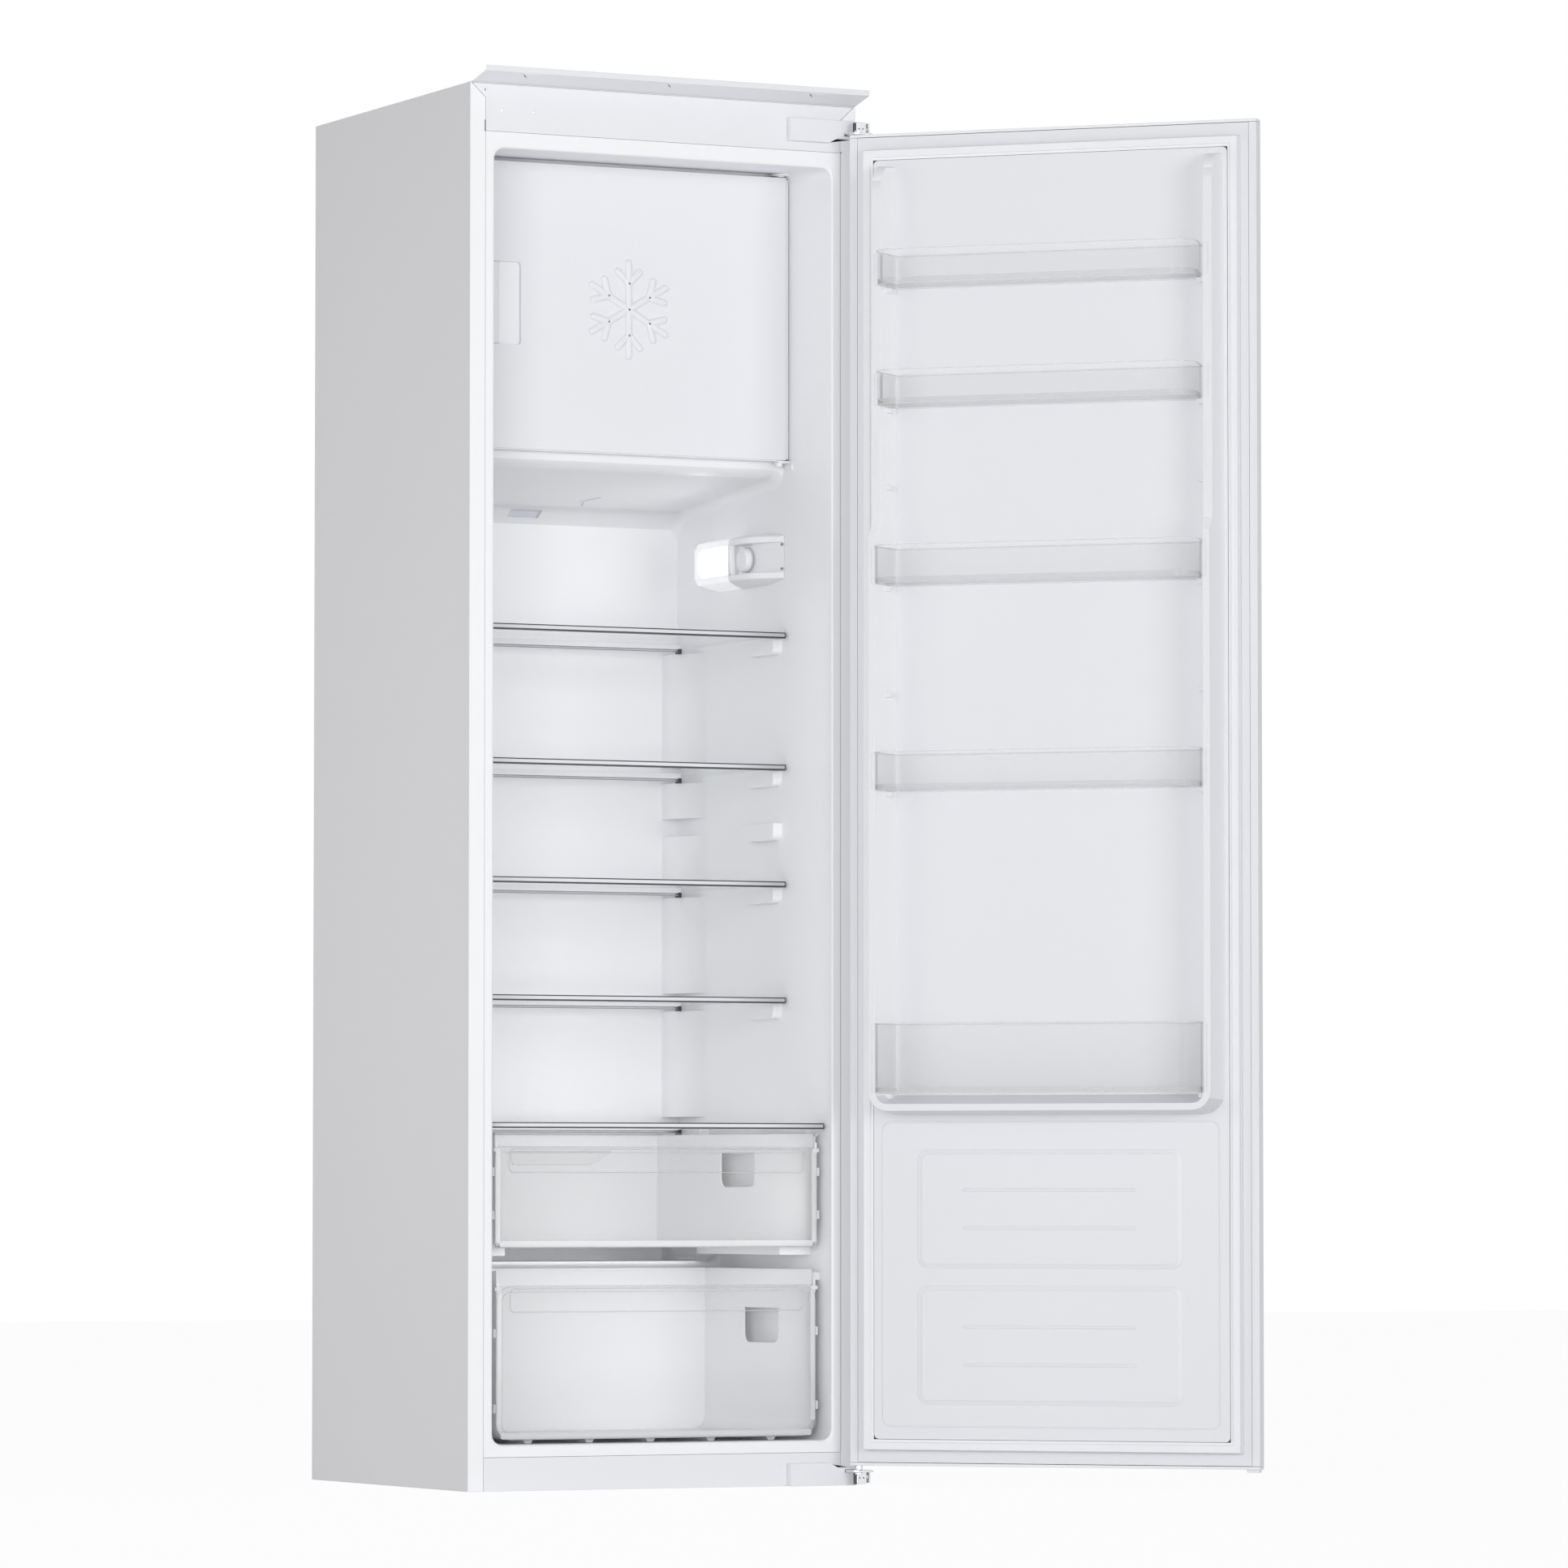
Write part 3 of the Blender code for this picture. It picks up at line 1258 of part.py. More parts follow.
def drawer(name, half, low, panel_top, rim, rear, corner, strip_top, hole_at, hole_top, look):
    slide = pivot(f"{name}_slide", (0, behind(DRAWER_FRONT), low))
    front = DRAWER_FRONT + DRAWER_PANEL + GAP
    layers = [tub_ring(drawer_half(half, depth), low, rim, corner, depth) for depth in (front, rear)]
    tub = piece(f"{name}_tub", [stack("y", layers)], look, slide)
    lip_front, lip_rear = front - DRAWER_LIP, rear + DRAWER_LIP
    lip = [
        (sign * (drawer_half(half, depth) + DRAWER_LIP), behind(depth))
        for sign, depth in ((-1, lip_front), (1, lip_front), (1, lip_rear), (-1, lip_rear))
    ]
    join(tub, "lip", [prism("z", lip, rim - DRAWER_LIP_HEIGHT, rim)])
    inner_low, inner_corner = low + DRAWER_FLOOR, corner - DRAWER_WALL
    layers = [
        tub_ring(
            drawer_half(half, depth) - DRAWER_WALL, inner_low, rim + OVERRUN, inner_corner, depth
        )
        for depth in (front + DRAWER_WALL, rear - DRAWER_WALL)
    ]
    cut(tub, "inside", [stack("y", layers)])
    hole_front = behind(hole_at - HOLE_LENGTH / 2)
    hole_rear = behind(hole_at + HOLE_LENGTH / 2)
    hole = eased(
        [
            (hole_front, hole_top - HOLE_HEIGHT, HOLE_CORNER),
            (hole_rear, hole_top - HOLE_HEIGHT, HOLE_CORNER),
            (hole_rear, hole_top, 0),
            (hole_front, hole_top, 0),
        ]
    )
    cut(tub, "hand_holes", [prism("x", hole, -half - OVERRUN, half + OVERRUN)])
    ring = tub_ring(half, low, panel_top, corner, DRAWER_FRONT)
    panel = piece(
        f"{name}_front",
        [prism("y", ring[1], ring[0], behind(DRAWER_FRONT + DRAWER_PANEL))],
        look,
        slide,
    )
    strip_half = half - STRIP_INSET
    strip = box(
        -strip_half,
        strip_half,
        behind(DRAWER_FRONT - OVERRUN),
        behind(DRAWER_FRONT + STRIP_DEPTH),
        strip_top - STRIP_HEIGHT,
        strip_top,
    )
    cut(panel, "strip", [strip])
    return tub


def runners(tub):
    """Feet under the lower drawer, which stand on the cavity's floor."""
    rear = LOWER_REAR - LOWER_CORNER
    front = DRAWER_FRONT + LOWER_CORNER
    reach = drawer_half(LOWER_HALF, rear) - LOWER_CORNER - RUNNER_WIDTH
    shells = []
    for i in range(RUNNERS):
        x = -reach + 2 * reach * i / (RUNNERS - 1)
        foot = RUNNER_WIDTH / 4
        profile = [
            (x - foot, CAVITY_FLOOR + GAP),
            (x + foot, CAVITY_FLOOR + GAP),
            (x + RUNNER_WIDTH / 2, LOWER_LOW + BITE),
            (x - RUNNER_WIDTH / 2, LOWER_LOW + BITE),
        ]
        shells.append(prism("y", profile, behind(front), behind(rear)))
    join(tub, "runners", shells)


# Main door


def door_box(low_along, high_along, low_thick, high_thick, low, high):
    return box(
        along(high_along), along(low_along), thick(low_thick), thick(high_thick), low, high
    )


def door_panel(look, hinge):
    """The folded steel sheet of the door's outside and edges."""
    width, back = DOOR_WIDTH, -DOOR_THICKNESS
    half = [(0, back), (0, 0), (DOOR_RETURN, 0), (DOOR_RETURN, -STEEL), (STEEL, -STEEL)]
    half.append((STEEL, back + STEEL))
    outline = half + [(width - a, b) for a, b in reversed(half)]
    plan = [(along(a), thick(b)) for a, b in outline]
    piece("door_panel", [prism("z", plan, DOOR_LOW, DOOR_HIGH)], look, hinge)


def plateau(grow, base):
    """The raised field inside the gasket, moved out by grow, down to base."""
    inset = GASKET_ALONG + GASKET_WIDTH + PLATEAU_AIR - grow
    low = GASKET_LOW + GASKET_WIDTH + PLATEAU_AIR - grow
    high = GASKET_HIGH - GASKET_WIDTH - PLATEAU_AIR + grow
    outline = rounded(along(DOOR_WIDTH - inset), along(inset), low, high, PLATEAU_CORNER + grow)
    return prism("y", outline, thick(base), thick(PLATEAU_HEIGHT + grow))


def ridge_stations():
    """Half of the U-shaped ridge's line, from its top end to the middle of its foot."""
    full, tip = RIDGE_UPPER_HEIGHT, PLATEAU_HEIGHT - BITE
    upper, lower = RIDGE_UPPER_INNER_TOP, RIDGE_LOWER_INNER_TOP
    stations = []
    for step in range(RIDGE_END_STEPS + 1):
        turn = math.pi / 2 * step / RIDGE_END_STEPS
        z = RIDGE_END - RIDGE_END_ROUND * (1 - math.cos(turn))
        height = tip + (full - tip) * math.sin(turn)
        stations.append((RIDGE_LINE, z, 0, height, upper))
    stations.append((RIDGE_LINE, RIDGE_STEP_HIGH, 0, full, upper))
    stations.append((RIDGE_LINE, RIDGE_STEP_LOW, 0, RIDGE_LOWER_HEIGHT, lower))
    for step in range(RIDGE_BEND_STEPS + 1):
        turn = math.pi / 2 * step / RIDGE_BEND_STEPS
        a = RIDGE_LINE + RIDGE_BEND * (1 - math.cos(turn))
        z = RIDGE_FOOT + RIDGE_BEND * (1 - math.sin(turn))
        stations.append((a, z, turn, RIDGE_LOWER_HEIGHT, lower))
    return stations


def ridge(grow, base):
    """The U-shaped ridge that carries the bins, moved out by grow, down to base."""
    half = ridge_stations()
    path = half + [(DOOR_WIDTH - a, z, math.pi - turn, *more) for a, z, turn, *more in reversed(half)]
    rings = []
    for i, (a, z, turn, height, inner_top) in enumerate(path):
        tip = i in (0, len(path) - 1)
        z += grow if tip else 0
        foot = min(PLATEAU_HEIGHT - BITE, height) + grow
        profile = (
            (RIDGE_OUTER_FOOT + grow, base),
            (RIDGE_OUTER_FOOT + grow, foot),
            (RIDGE_OUTER_TOP + grow, height + grow),
            (-inner_top - grow, height + grow),
            (-RIDGE_INNER_FOOT - grow, foot),
            (-RIDGE_INNER_FOOT - grow, base),
        )
        if tip:
            profile = [(across, min(level, foot)) for across, level in profile]
        rings.append(
            [
                (along(a - out * math.cos(turn)), thick(level), z - out * math.sin(turn))
                for out, level in profile
            ]
        )
    return loft(rings, split=True)


def bin_lugs():
    """Pairs of lugs on the ridge, under each bin and at the spare heights."""
    shells = []
    start = RIDGE_LINE
    end = RIDGE_LINE + RIDGE_INNER_FOOT + BIN_LUG_REACH
    for top in (*(low - GAP for low in BIN_LOWS), *SPARE_LUG_TOPS):
        for low_along, high_along in ((start, end), (DOOR_WIDTH - end, DOOR_WIDTH - start)):
            shells.append(
                door_box(
                    low_along,
                    high_along,
                    BIN_LUG_START,
                    BIN_LUG_START + BIN_LUG_LENGTH,
                    top - BIN_LUG_HEIGHT,
                    top,
                )
            )
    return shells


def door_liner(look, hinge):
    edge = DOOR_RETURN + GAP
    plate = door_box(
        edge, DOOR_WIDTH - edge, -MOULDING, 0, DOOR_LOW + GAP, DOOR_HIGH - GAP
    )
    made = piece("door_liner", [plate], look, hinge)
    join(made, "plateau", [plateau(0, -MOULDING / 2)])
    join(made, "ridge", [ridge(0, -MOULDING / 2)])
    join(made, "bin_lugs", bin_lugs())
    cut(made, "plateau_inside", [plateau(-MOULDING, -MOULDING - OVERRUN)])
    cut(made, "ridge_inside", [ridge(-MOULDING, -MOULDING - OVERRUN)])


def door_foam(look, hinge):
    air = STEEL + GAP
    back = -DOOR_THICKNESS
    front = -MOULDING - GAP
    slab = door_box(air, DOOR_WIDTH - air, back + air, front, DOOR_LOW + GAP, DOOR_HIGH - GAP)
    made = piece("door_foam", [slab], look, hinge)
    join(made, "plateau", [plateau(-MOULDING - GAP, front - BITE)])
    join(made, "ridge", [ridge(-MOULDING - GAP, front - BITE)])
    room = BUSH_RADIUS + GAP
    ends = (
        (DOOR_LOW - OVERRUN, DOOR_LOW + BUSH_DEPTH + GAP),
        (DOOR_HIGH - BUSH_DEPTH - GAP, DOOR_HIGH + OVERRUN),
    )
    rooms = [
        door_box(-OVERRUN, PIN_ALONG + room, back - OVERRUN, -DOOR_SPACING + room, low, high)
        for low, high in ends
    ]
    cut(made, "bush_rooms", rooms)


def gasket(look, hinge):
    front, tip = GAP, DOOR_SPACING - GASKET_AIR
    along_end = DOOR_WIDTH - GASKET_ALONG
    frame = door_box(GASKET_ALONG, along_end, front, tip, GASKET_LOW, GASKET_HIGH)
    made = piece("door_gasket", [frame], look, hinge)
    inside = door_box(
        GASKET_ALONG + GASKET_WIDTH,
        along_end - GASKET_WIDTH,
        front - OVERRUN,
        tip + OVERRUN,
        GASKET_LOW + GASKET_WIDTH,
        GASKET_HIGH - GASKET_WIDTH,
    )
    cut(made, "inside", [inside])


def door_cap(name, look, hinge, low, bush_low, bush_high):
    plate = door_box(0, DOOR_WIDTH, -DOOR_THICKNESS, 0, low, low + CAP_HEIGHT)
    made = piece(name, [plate], look, hinge)
    at = (along(PIN_ALONG), thick(-DOOR_SPACING))
    join(made, "bush", [turned("z", at, [(bush_low, BUSH_RADIUS), (bush_high, BUSH_RADIUS)])])
    bore = PIN_RADIUS + GAP
    ends = (min(low, bush_low) - OVERRUN, max(low + CAP_HEIGHT, bush_high) + OVERRUN)
    cut(made, "pin_hole", [turned("z", at, [(end, bore) for end in ends])])
    return made


def door_caps(look, hinge):
    low = DOOR_HIGH + GAP
    door_cap("door_cap_top", look, hinge, low, DOOR_HIGH - BUSH_DEPTH, low + BITE)
    high = DOOR_LOW - GAP
    made = door_cap(
        "door_cap_bottom", look, hinge, high - CAP_HEIGHT, high - BITE, DOOR_LOW + BUSH_DEPTH
    )
    end = DOOR_WIDTH - PEG_INSET
    middle = -DOOR_THICKNESS / 2
    peg = door_box(
        end - PEG_LENGTH,
        end,
        middle - PEG_WIDTH / 2,
        middle + PEG_WIDTH / 2,
        high - CAP_HEIGHT - PEG_HEIGHT,
        high - BITE,
    )
    join(made, "peg", [peg])


# Door bins


def ridge_side(height, full, inner_top):
    """How far the ridge's inner side is from the door's edge at this height."""
    share = (height - PLATEAU_HEIGHT) / (full - PLATEAU_HEIGHT)
    return RIDGE_LINE + RIDGE_INNER_FOOT + (inner_top - RIDGE_INNER_FOOT) * min(share, 1)


def bin_plan(low, inset, reach_in=0.0):
    """A bin's outline, whose sides follow the ridge up to the bin's shoulders."""
    above_step = low > RIDGE_STEP_HIGH
    full = RIDGE_UPPER_HEIGHT if above_step else RIDGE_LOWER_HEIGHT
    inner_top = RIDGE_UPPER_INNER_TOP if above_step else RIDGE_LOWER_INNER_TOP
    foot = ridge_side(BIN_BACK, full, inner_top) + BIN_SIDE_AIR + inset
    shoulder = ridge_side(full, full, inner_top) + BIN_SIDE_AIR + inset
    back = BIN_BACK + inset
    front = BIN_REACH - reach_in - inset
    corner = BIN_CORNER - inset
    corners = [
        (foot, back, 0),
        (shoulder, BIN_SHOULDER, 0),
        (shoulder, front, corner),
        (DOOR_WIDTH - shoulder, front, corner),
        (DOOR_WIDTH - shoulder, BIN_SHOULDER, 0),
        (DOOR_WIDTH - foot, back, 0),
    ]
    return [(along(a), thick(b)) for a, b in eased(corners)]


def door_bin(name, low, high, look, hinge):
    outer = [(low, bin_plan(low, 0, BIN_DRAFT)), (high, bin_plan(low, 0))]
    made = piece(name, [stack("z", outer)], look, hinge)
    floor, top = low + BIN_FLOOR, high + OVERRUN
    inner = [(floor, bin_plan(low, BIN_WALL, BIN_DRAFT)), (top, bin_plan(low, BIN_WALL))]
    cut(made, "inside", [stack("z", inner)])


# Hinges of the main door


def hinge_cover(name, look, low, high, stepped_low, arm_low):
    """A cover over a hinge's plate, stepped on the side that faces the door."""
    start, end, rise = COVER_STEP_START, COVER_STEP_END, COVER_STEP_RISE

    def outline(inset):
        left, right = COVER_LEFT + inset, COVER_RIGHT - inset
        if stepped_low:
            bottom = [
                (left, low + inset),
                (start + inset, low + inset),
                (end + inset, low + rise + inset),
                (right, low + rise + inset),
            ]
            return bottom + [(right, high - inset), (left, high - inset)]
        top = [
            (right, high - rise - inset),
            (end + inset, high - rise - inset),
            (start + inset, high - inset),
            (left, high - inset),
        ]
        return [(left, low + inset), (right, low + inset)] + top

    front = behind(-COVER_PROUD)
    made = piece(name, [prism("y", outline(0), front, behind(-GAP))], look)
    inside = prism("y", outline(COVER_WALL), front + COVER_WALL, behind(OVERRUN))
    cut(made, "inside", [inside])
    slot = box(
        ARM_LEFT - GAP,
        COVER_RIGHT + OVERRUN,
        front - OVERRUN,
        behind(OVERRUN),
        arm_low - GAP,
        arm_low + ARM_THICKNESS + GAP,
    )
    cut(made, "arm_slot", [slot])


def hinge_bracket(name, look, arm_low, plate_low, plate_high, lug_low):
    """A plate behind the cover, the arm out to the pin, and the lug beside the cabinet."""
    arm_high = arm_low + ARM_THICKNESS
    pin = (along(PIN_ALONG), thick(-DOOR_SPACING))
    front = pin[1] - ARM_NOSE
    arm = [
        (ARM_LEFT, behind(-GAP), 0),
        (ARM_RIGHT, behind(-GAP), 0),
        (ARM_RIGHT, front, ARM_NOSE),
        (ARM_LEFT, front, ARM_NOSE),
    ]
    made = piece(name, [prism("z", eased(arm), arm_low, arm_high)], look)
    back = behind(-GAP - BITE / 2)
    plate = box(BRACKET_LEFT, BRACKET_RIGHT, behind(-BRACKET_PLATE), back, plate_low, plate_high)
    lug_left = ARM_RIGHT - SIDE_LUG_THICKNESS
    lug_front = behind(-SIDE_LUG_REACH)
    lug_right = ARM_RIGHT - SIDE_LUG_THICKNESS / 8
    lug = box(lug_left, lug_right, lug_front, back, lug_low, lug_low + SIDE_LUG_HEIGHT)
    join(made, "plate", [plate, lug])
    bore = PIN_RADIUS + GAP
    cut(made, "pin_hole", [turned("z", pin, [(arm_low - OVERRUN, bore), (arm_high + OVERRUN, bore)])])
    layers = [(lug_left - OVERRUN, SIDE_LUG_HOLE), (ARM_RIGHT + OVERRUN, SIDE_LUG_HOLE)]
    middle = lug_low + SIDE_LUG_HEIGHT / 2
    holes = [
        turned("x", (behind(-SIDE_LUG_REACH * share), middle), layers, TUBE_SIDES)
        for share in SCREW_SHARES
    ]
    cut(made, "screw_holes", holes)


def hinge_pins(look):
    pin = (along(PIN_ALONG), thick(-DOOR_SPACING))
    seat = UPPER_ARM_LOW + ARM_THICKNESS + GAP
    layers = [
        (DOOR_HIGH - PIN_GRIP, PIN_RADIUS),
        (seat, PIN_RADIUS),
        (seat, PIN_HEAD_RADIUS),
        (seat + PIN_HEAD_HEIGHT, PIN_HEAD_RADIUS),
    ]
    piece("hinge_pin_upper", [turned("z", pin, layers)], look, smooth=True)
    head = LOWER_ARM_LOW - GAP
    collar = LOWER_ARM_LOW + ARM_THICKNESS + GAP
    cap = DOOR_LOW - GAP - CAP_HEIGHT - GAP
    layers = [
        (head - PIN_HEAD_HEIGHT, PIN_HEAD_RADIUS),
        (head, PIN_HEAD_RADIUS),
        (head, PIN_RADIUS),
        (collar, PIN_RADIUS),
        (collar, PIN_HEAD_RADIUS),
        (cap, PIN_HEAD_RADIUS),
        (cap, PIN_RADIUS),
        (DOOR_LOW + PIN_GRIP, PIN_RADIUS),
    ]
    piece("hinge_pin_lower", [turned("z", pin, layers)], look, smooth=True)


def hinges(cover_look, metal):
    hinge_cover("hinge_cover_upper", cover_look, UPPER_COVER_LOW, UPPER_COVER_HIGH, True, UPPER_ARM_LOW)
    hinge_cover("hinge_cover_lower", cover_look, 0, LOWER_COVER_HIGH, False, LOWER_ARM_LOW)
    edge = COVER_WALL + BRACKET_EDGE
    arm_high = UPPER_ARM_LOW + ARM_THICKNESS
    hinge_bracket(
        "hinge_bracket_upper",
        metal,
        UPPER_ARM_LOW,
        UPPER_ARM_LOW + ARM_THICKNESS / 4,
        UPPER_COVER_HIGH - edge,
        arm_high - BITE,
    )
    hinge_bracket(
        "hinge_bracket_lower",
        metal,
        LOWER_ARM_LOW,
        edge,
        LOWER_ARM_LOW + ARM_THICKNESS * 3 / 4,
        LOWER_ARM_LOW + BITE - SIDE_LUG_HEIGHT,
    )
    hinge_pins(metal)


# The whole


def main():
    clear_scene()
    steel_white = finish("cabinet_steel", (0.62, 0.61, 0.63), 0.38)
    white = finish("white_plastic", (0.80, 0.81, 0.83), 0.35)
    foam = finish("foam", (0.78, 0.72, 0.50), 0.9)
    zinc = finish("zinc_sheet", (0.58, 0.59, 0.60), 0.45, 0.9)
    chrome = finish("hinge_metal", (0.72, 0.73, 0.75), 0.25, 1.0)
    silver = finish("trim_silver", (0.62, 0.63, 0.65), 0.30, 1.0)
    glass = finish("shelf_glass", (0.85, 0.89, 0.88), 0.05)
    clear = finish("clear_plastic", (0.84, 0.85, 0.87), 0.12)
    rubber = finish("gasket_rubber", (0.74, 0.75, 0.77), 0.6)
    black = finish("black_paint", (0.03, 0.03, 0.03), 0.5)
    dark_plastic = finish("tray_plastic", (0.06, 0.06, 0.06), 0.5)
    aluminium = finish("evaporator_aluminium", (0.75, 0.76, 0.78), 0.4, 1.0)
    copper = finish("copper", (0.80, 0.42, 0.26), 0.35, 1.0)
    lens = finish("lamp_lens", (0.92, 0.93, 0.95), 0.25)
    board = finish("led_board", (0.85, 0.86, 0.80), 0.5)
    door_white = finish("door_steel", (0.78, 0.79, 0.81), 0.35)

    outer_shell(steel_white)
    top_fascia(white)
    bottom_fascia(white)
    top_trim(white)
    inner_liner(white)
    evaporator_box(aluminium)
    insulation_foam(foam)
    base_tray(zinc)
    back_panel(zinc)
    tail = condenser_tube(black)
    condenser_wires(black)
    filter_drier(copper, tail)
    compressor(black)
    tray_top = drip_tray(dark_plastic)
    drain_tube(dark_plastic, tray_top)
    icebox_door(white, white, white)
    thermostat_knob(clear, lamp_housing(white))
    lamp_lens(lens)
    led_board(board)

    for number, top in enumerate(SHELF_TOPS, 1):
        shelf(f"shelf_{number}", top, SHELF_FRONT, glass, silver)
    shelf("shelf_5", DRAWER_SHELF_TOP, DRAWER_SHELF_FRONT, glass, silver)
    drawer(
        "upper_drawer", UPPER_HALF, UPPER_LOW, UPPER_PANEL_TOP, UPPER_RIM, UPPER_REAR,
        UPPER_CORNER, UPPER_STRIP_TOP, UPPER_HOLE_CENTRE, UPPER_HOLE_TOP, clear,
    )
    lower_tub = drawer(
        "lower_drawer", LOWER_HALF, LOWER_LOW, LOWER_PANEL_TOP, LOWER_RIM, LOWER_REAR,
        LOWER_CORNER, LOWER_STRIP_TOP, LOWER_HOLE_CENTRE, LOWER_HOLE_TOP, clear,
    )
    runners(lower_tub)

    hinge = pivot("door_pivot", (along(PIN_ALONG), thick(-DOOR_SPACING), DOOR_LOW), DOOR_OPEN_DEGREES)
    door_panel(door_white, hinge)
    door_liner(white, hinge)
    door_foam(foam, hinge)
    gasket(rubber, hinge)
    door_caps(white, hinge)
    for number, (low, height) in enumerate(zip(BIN_LOWS, BIN_HEIGHTS), 1):
        name = f"door_bin_{number}" if number < len(BIN_LOWS) else "bottle_bin"
        door_bin(name, low, low + height, clear, hinge)
    hinges(white, chrome)


main()
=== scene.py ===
"""The looks of a tall built-in larder refrigerator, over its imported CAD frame.

Metres, +Z up, the front towards -Y, in the frame's own coordinates.
"""

import json
import math

import bmesh
import bpy
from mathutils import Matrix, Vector

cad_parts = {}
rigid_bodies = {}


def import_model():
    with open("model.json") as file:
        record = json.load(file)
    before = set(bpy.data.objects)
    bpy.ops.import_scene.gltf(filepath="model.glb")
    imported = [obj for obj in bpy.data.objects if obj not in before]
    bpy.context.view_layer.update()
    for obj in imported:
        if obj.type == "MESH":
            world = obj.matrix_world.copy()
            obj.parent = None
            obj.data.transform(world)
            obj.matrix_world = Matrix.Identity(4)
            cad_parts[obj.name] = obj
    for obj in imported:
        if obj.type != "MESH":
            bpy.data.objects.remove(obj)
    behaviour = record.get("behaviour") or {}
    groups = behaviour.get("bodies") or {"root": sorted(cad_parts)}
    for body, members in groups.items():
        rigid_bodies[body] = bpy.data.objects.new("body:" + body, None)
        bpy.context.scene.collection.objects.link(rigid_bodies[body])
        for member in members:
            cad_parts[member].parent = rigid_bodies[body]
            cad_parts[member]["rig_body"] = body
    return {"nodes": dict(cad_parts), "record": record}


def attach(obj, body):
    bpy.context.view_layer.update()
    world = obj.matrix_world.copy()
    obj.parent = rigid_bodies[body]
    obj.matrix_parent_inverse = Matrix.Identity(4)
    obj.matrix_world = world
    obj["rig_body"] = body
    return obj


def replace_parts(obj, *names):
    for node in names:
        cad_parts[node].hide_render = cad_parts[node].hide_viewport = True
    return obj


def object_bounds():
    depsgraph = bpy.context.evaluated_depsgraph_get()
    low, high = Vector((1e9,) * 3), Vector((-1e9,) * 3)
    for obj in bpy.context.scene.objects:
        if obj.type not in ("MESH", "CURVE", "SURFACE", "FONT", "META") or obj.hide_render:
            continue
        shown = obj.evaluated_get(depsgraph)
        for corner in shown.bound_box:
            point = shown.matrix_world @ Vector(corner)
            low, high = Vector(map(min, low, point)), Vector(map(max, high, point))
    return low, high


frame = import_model()
CAD_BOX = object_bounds()
NODES = frame["nodes"]
SLOTS = {part["node"]: part["material_slot"] for part in frame["record"]["subparts"]}

# Camera, at the photograph's viewing angle
CAMERA_PLACE = (-4.4546, -9.4387, 0.3754)
CAMERA_YAW = 26.6879  # degrees from +Y towards +X
CAMERA_PITCH = 2.8443
LENS = 186.79
SENSOR = 36.0

# Studio
FLOOR_HALF = 12.0
FLOOR_GAP = 0.0005
FLOOR_TONE = 0.9
FLOOR_GLOW = 0.95  # of white, where the camera looks
WORLD_LIGHT = 0.43
WHITE = (1, 1, 1, 1)
LIGHTS = {  # place, size and power of each soft light
    "left_light": ((-4.9, -6.6, 1.0), 3.0, 205.0),
    "front_light": ((1.2, -8.4, 1.0), 3.0, 175.0),
    "side_light": ((-2.4, -0.2, 0.7), 1.4, 11.0),
}
AIM = (0.0, -0.2, 0.9)
FILLS = {  # place, width, height and power of each sheet of light that shines in
    "larder_fill": ((0.0, -0.246, 0.64), 0.44, 1.00, 0.43),
    "bay_fill": ((0.0, 0.066, 0.292), 0.40, 0.010, 0.032),
    "upper_drawer_fill": ((0.0, -0.2165, 0.362), 0.40, 0.10, 0.16),
    "lower_drawer_fill": ((0.0, -0.2165, 0.160), 0.40, 0.16, 0.12),
}
FILL_SPREAD = 150  # degrees

# Finishes: tint, vary and bump are each the scale of a noise and its amount
STRETCH = (0.02, 1, 1)  # of the noises of a drawn finish
MIX_FIRST, MIX_SECOND, MIX_RESULT = 6, 7, 2  # sockets of a Mix node that mixes colours
WHITE_KIND = dict(roughness=0.36, tint=(3, 0.012), vary=(60, 0.05), bump=(900, 0.00002))
SHEET_KIND = dict(vary=(30, 0.05), bump=(350, 0.00003))
STRIP_KIND = dict(vary=(900, 0.08), drawn=True)
MARK_KIND = dict(roughness=0.7, tint=(300, 0.1))
CLEAR_KIND = dict(roughness=0.15, vary=(50, 0.04), bump=(200, 0.00002), IOR=1.45)
LAMP_KIND = dict(colour=(0.90, 0.91, 0.93), roughness=0.3, bump=(300, 0.00005))
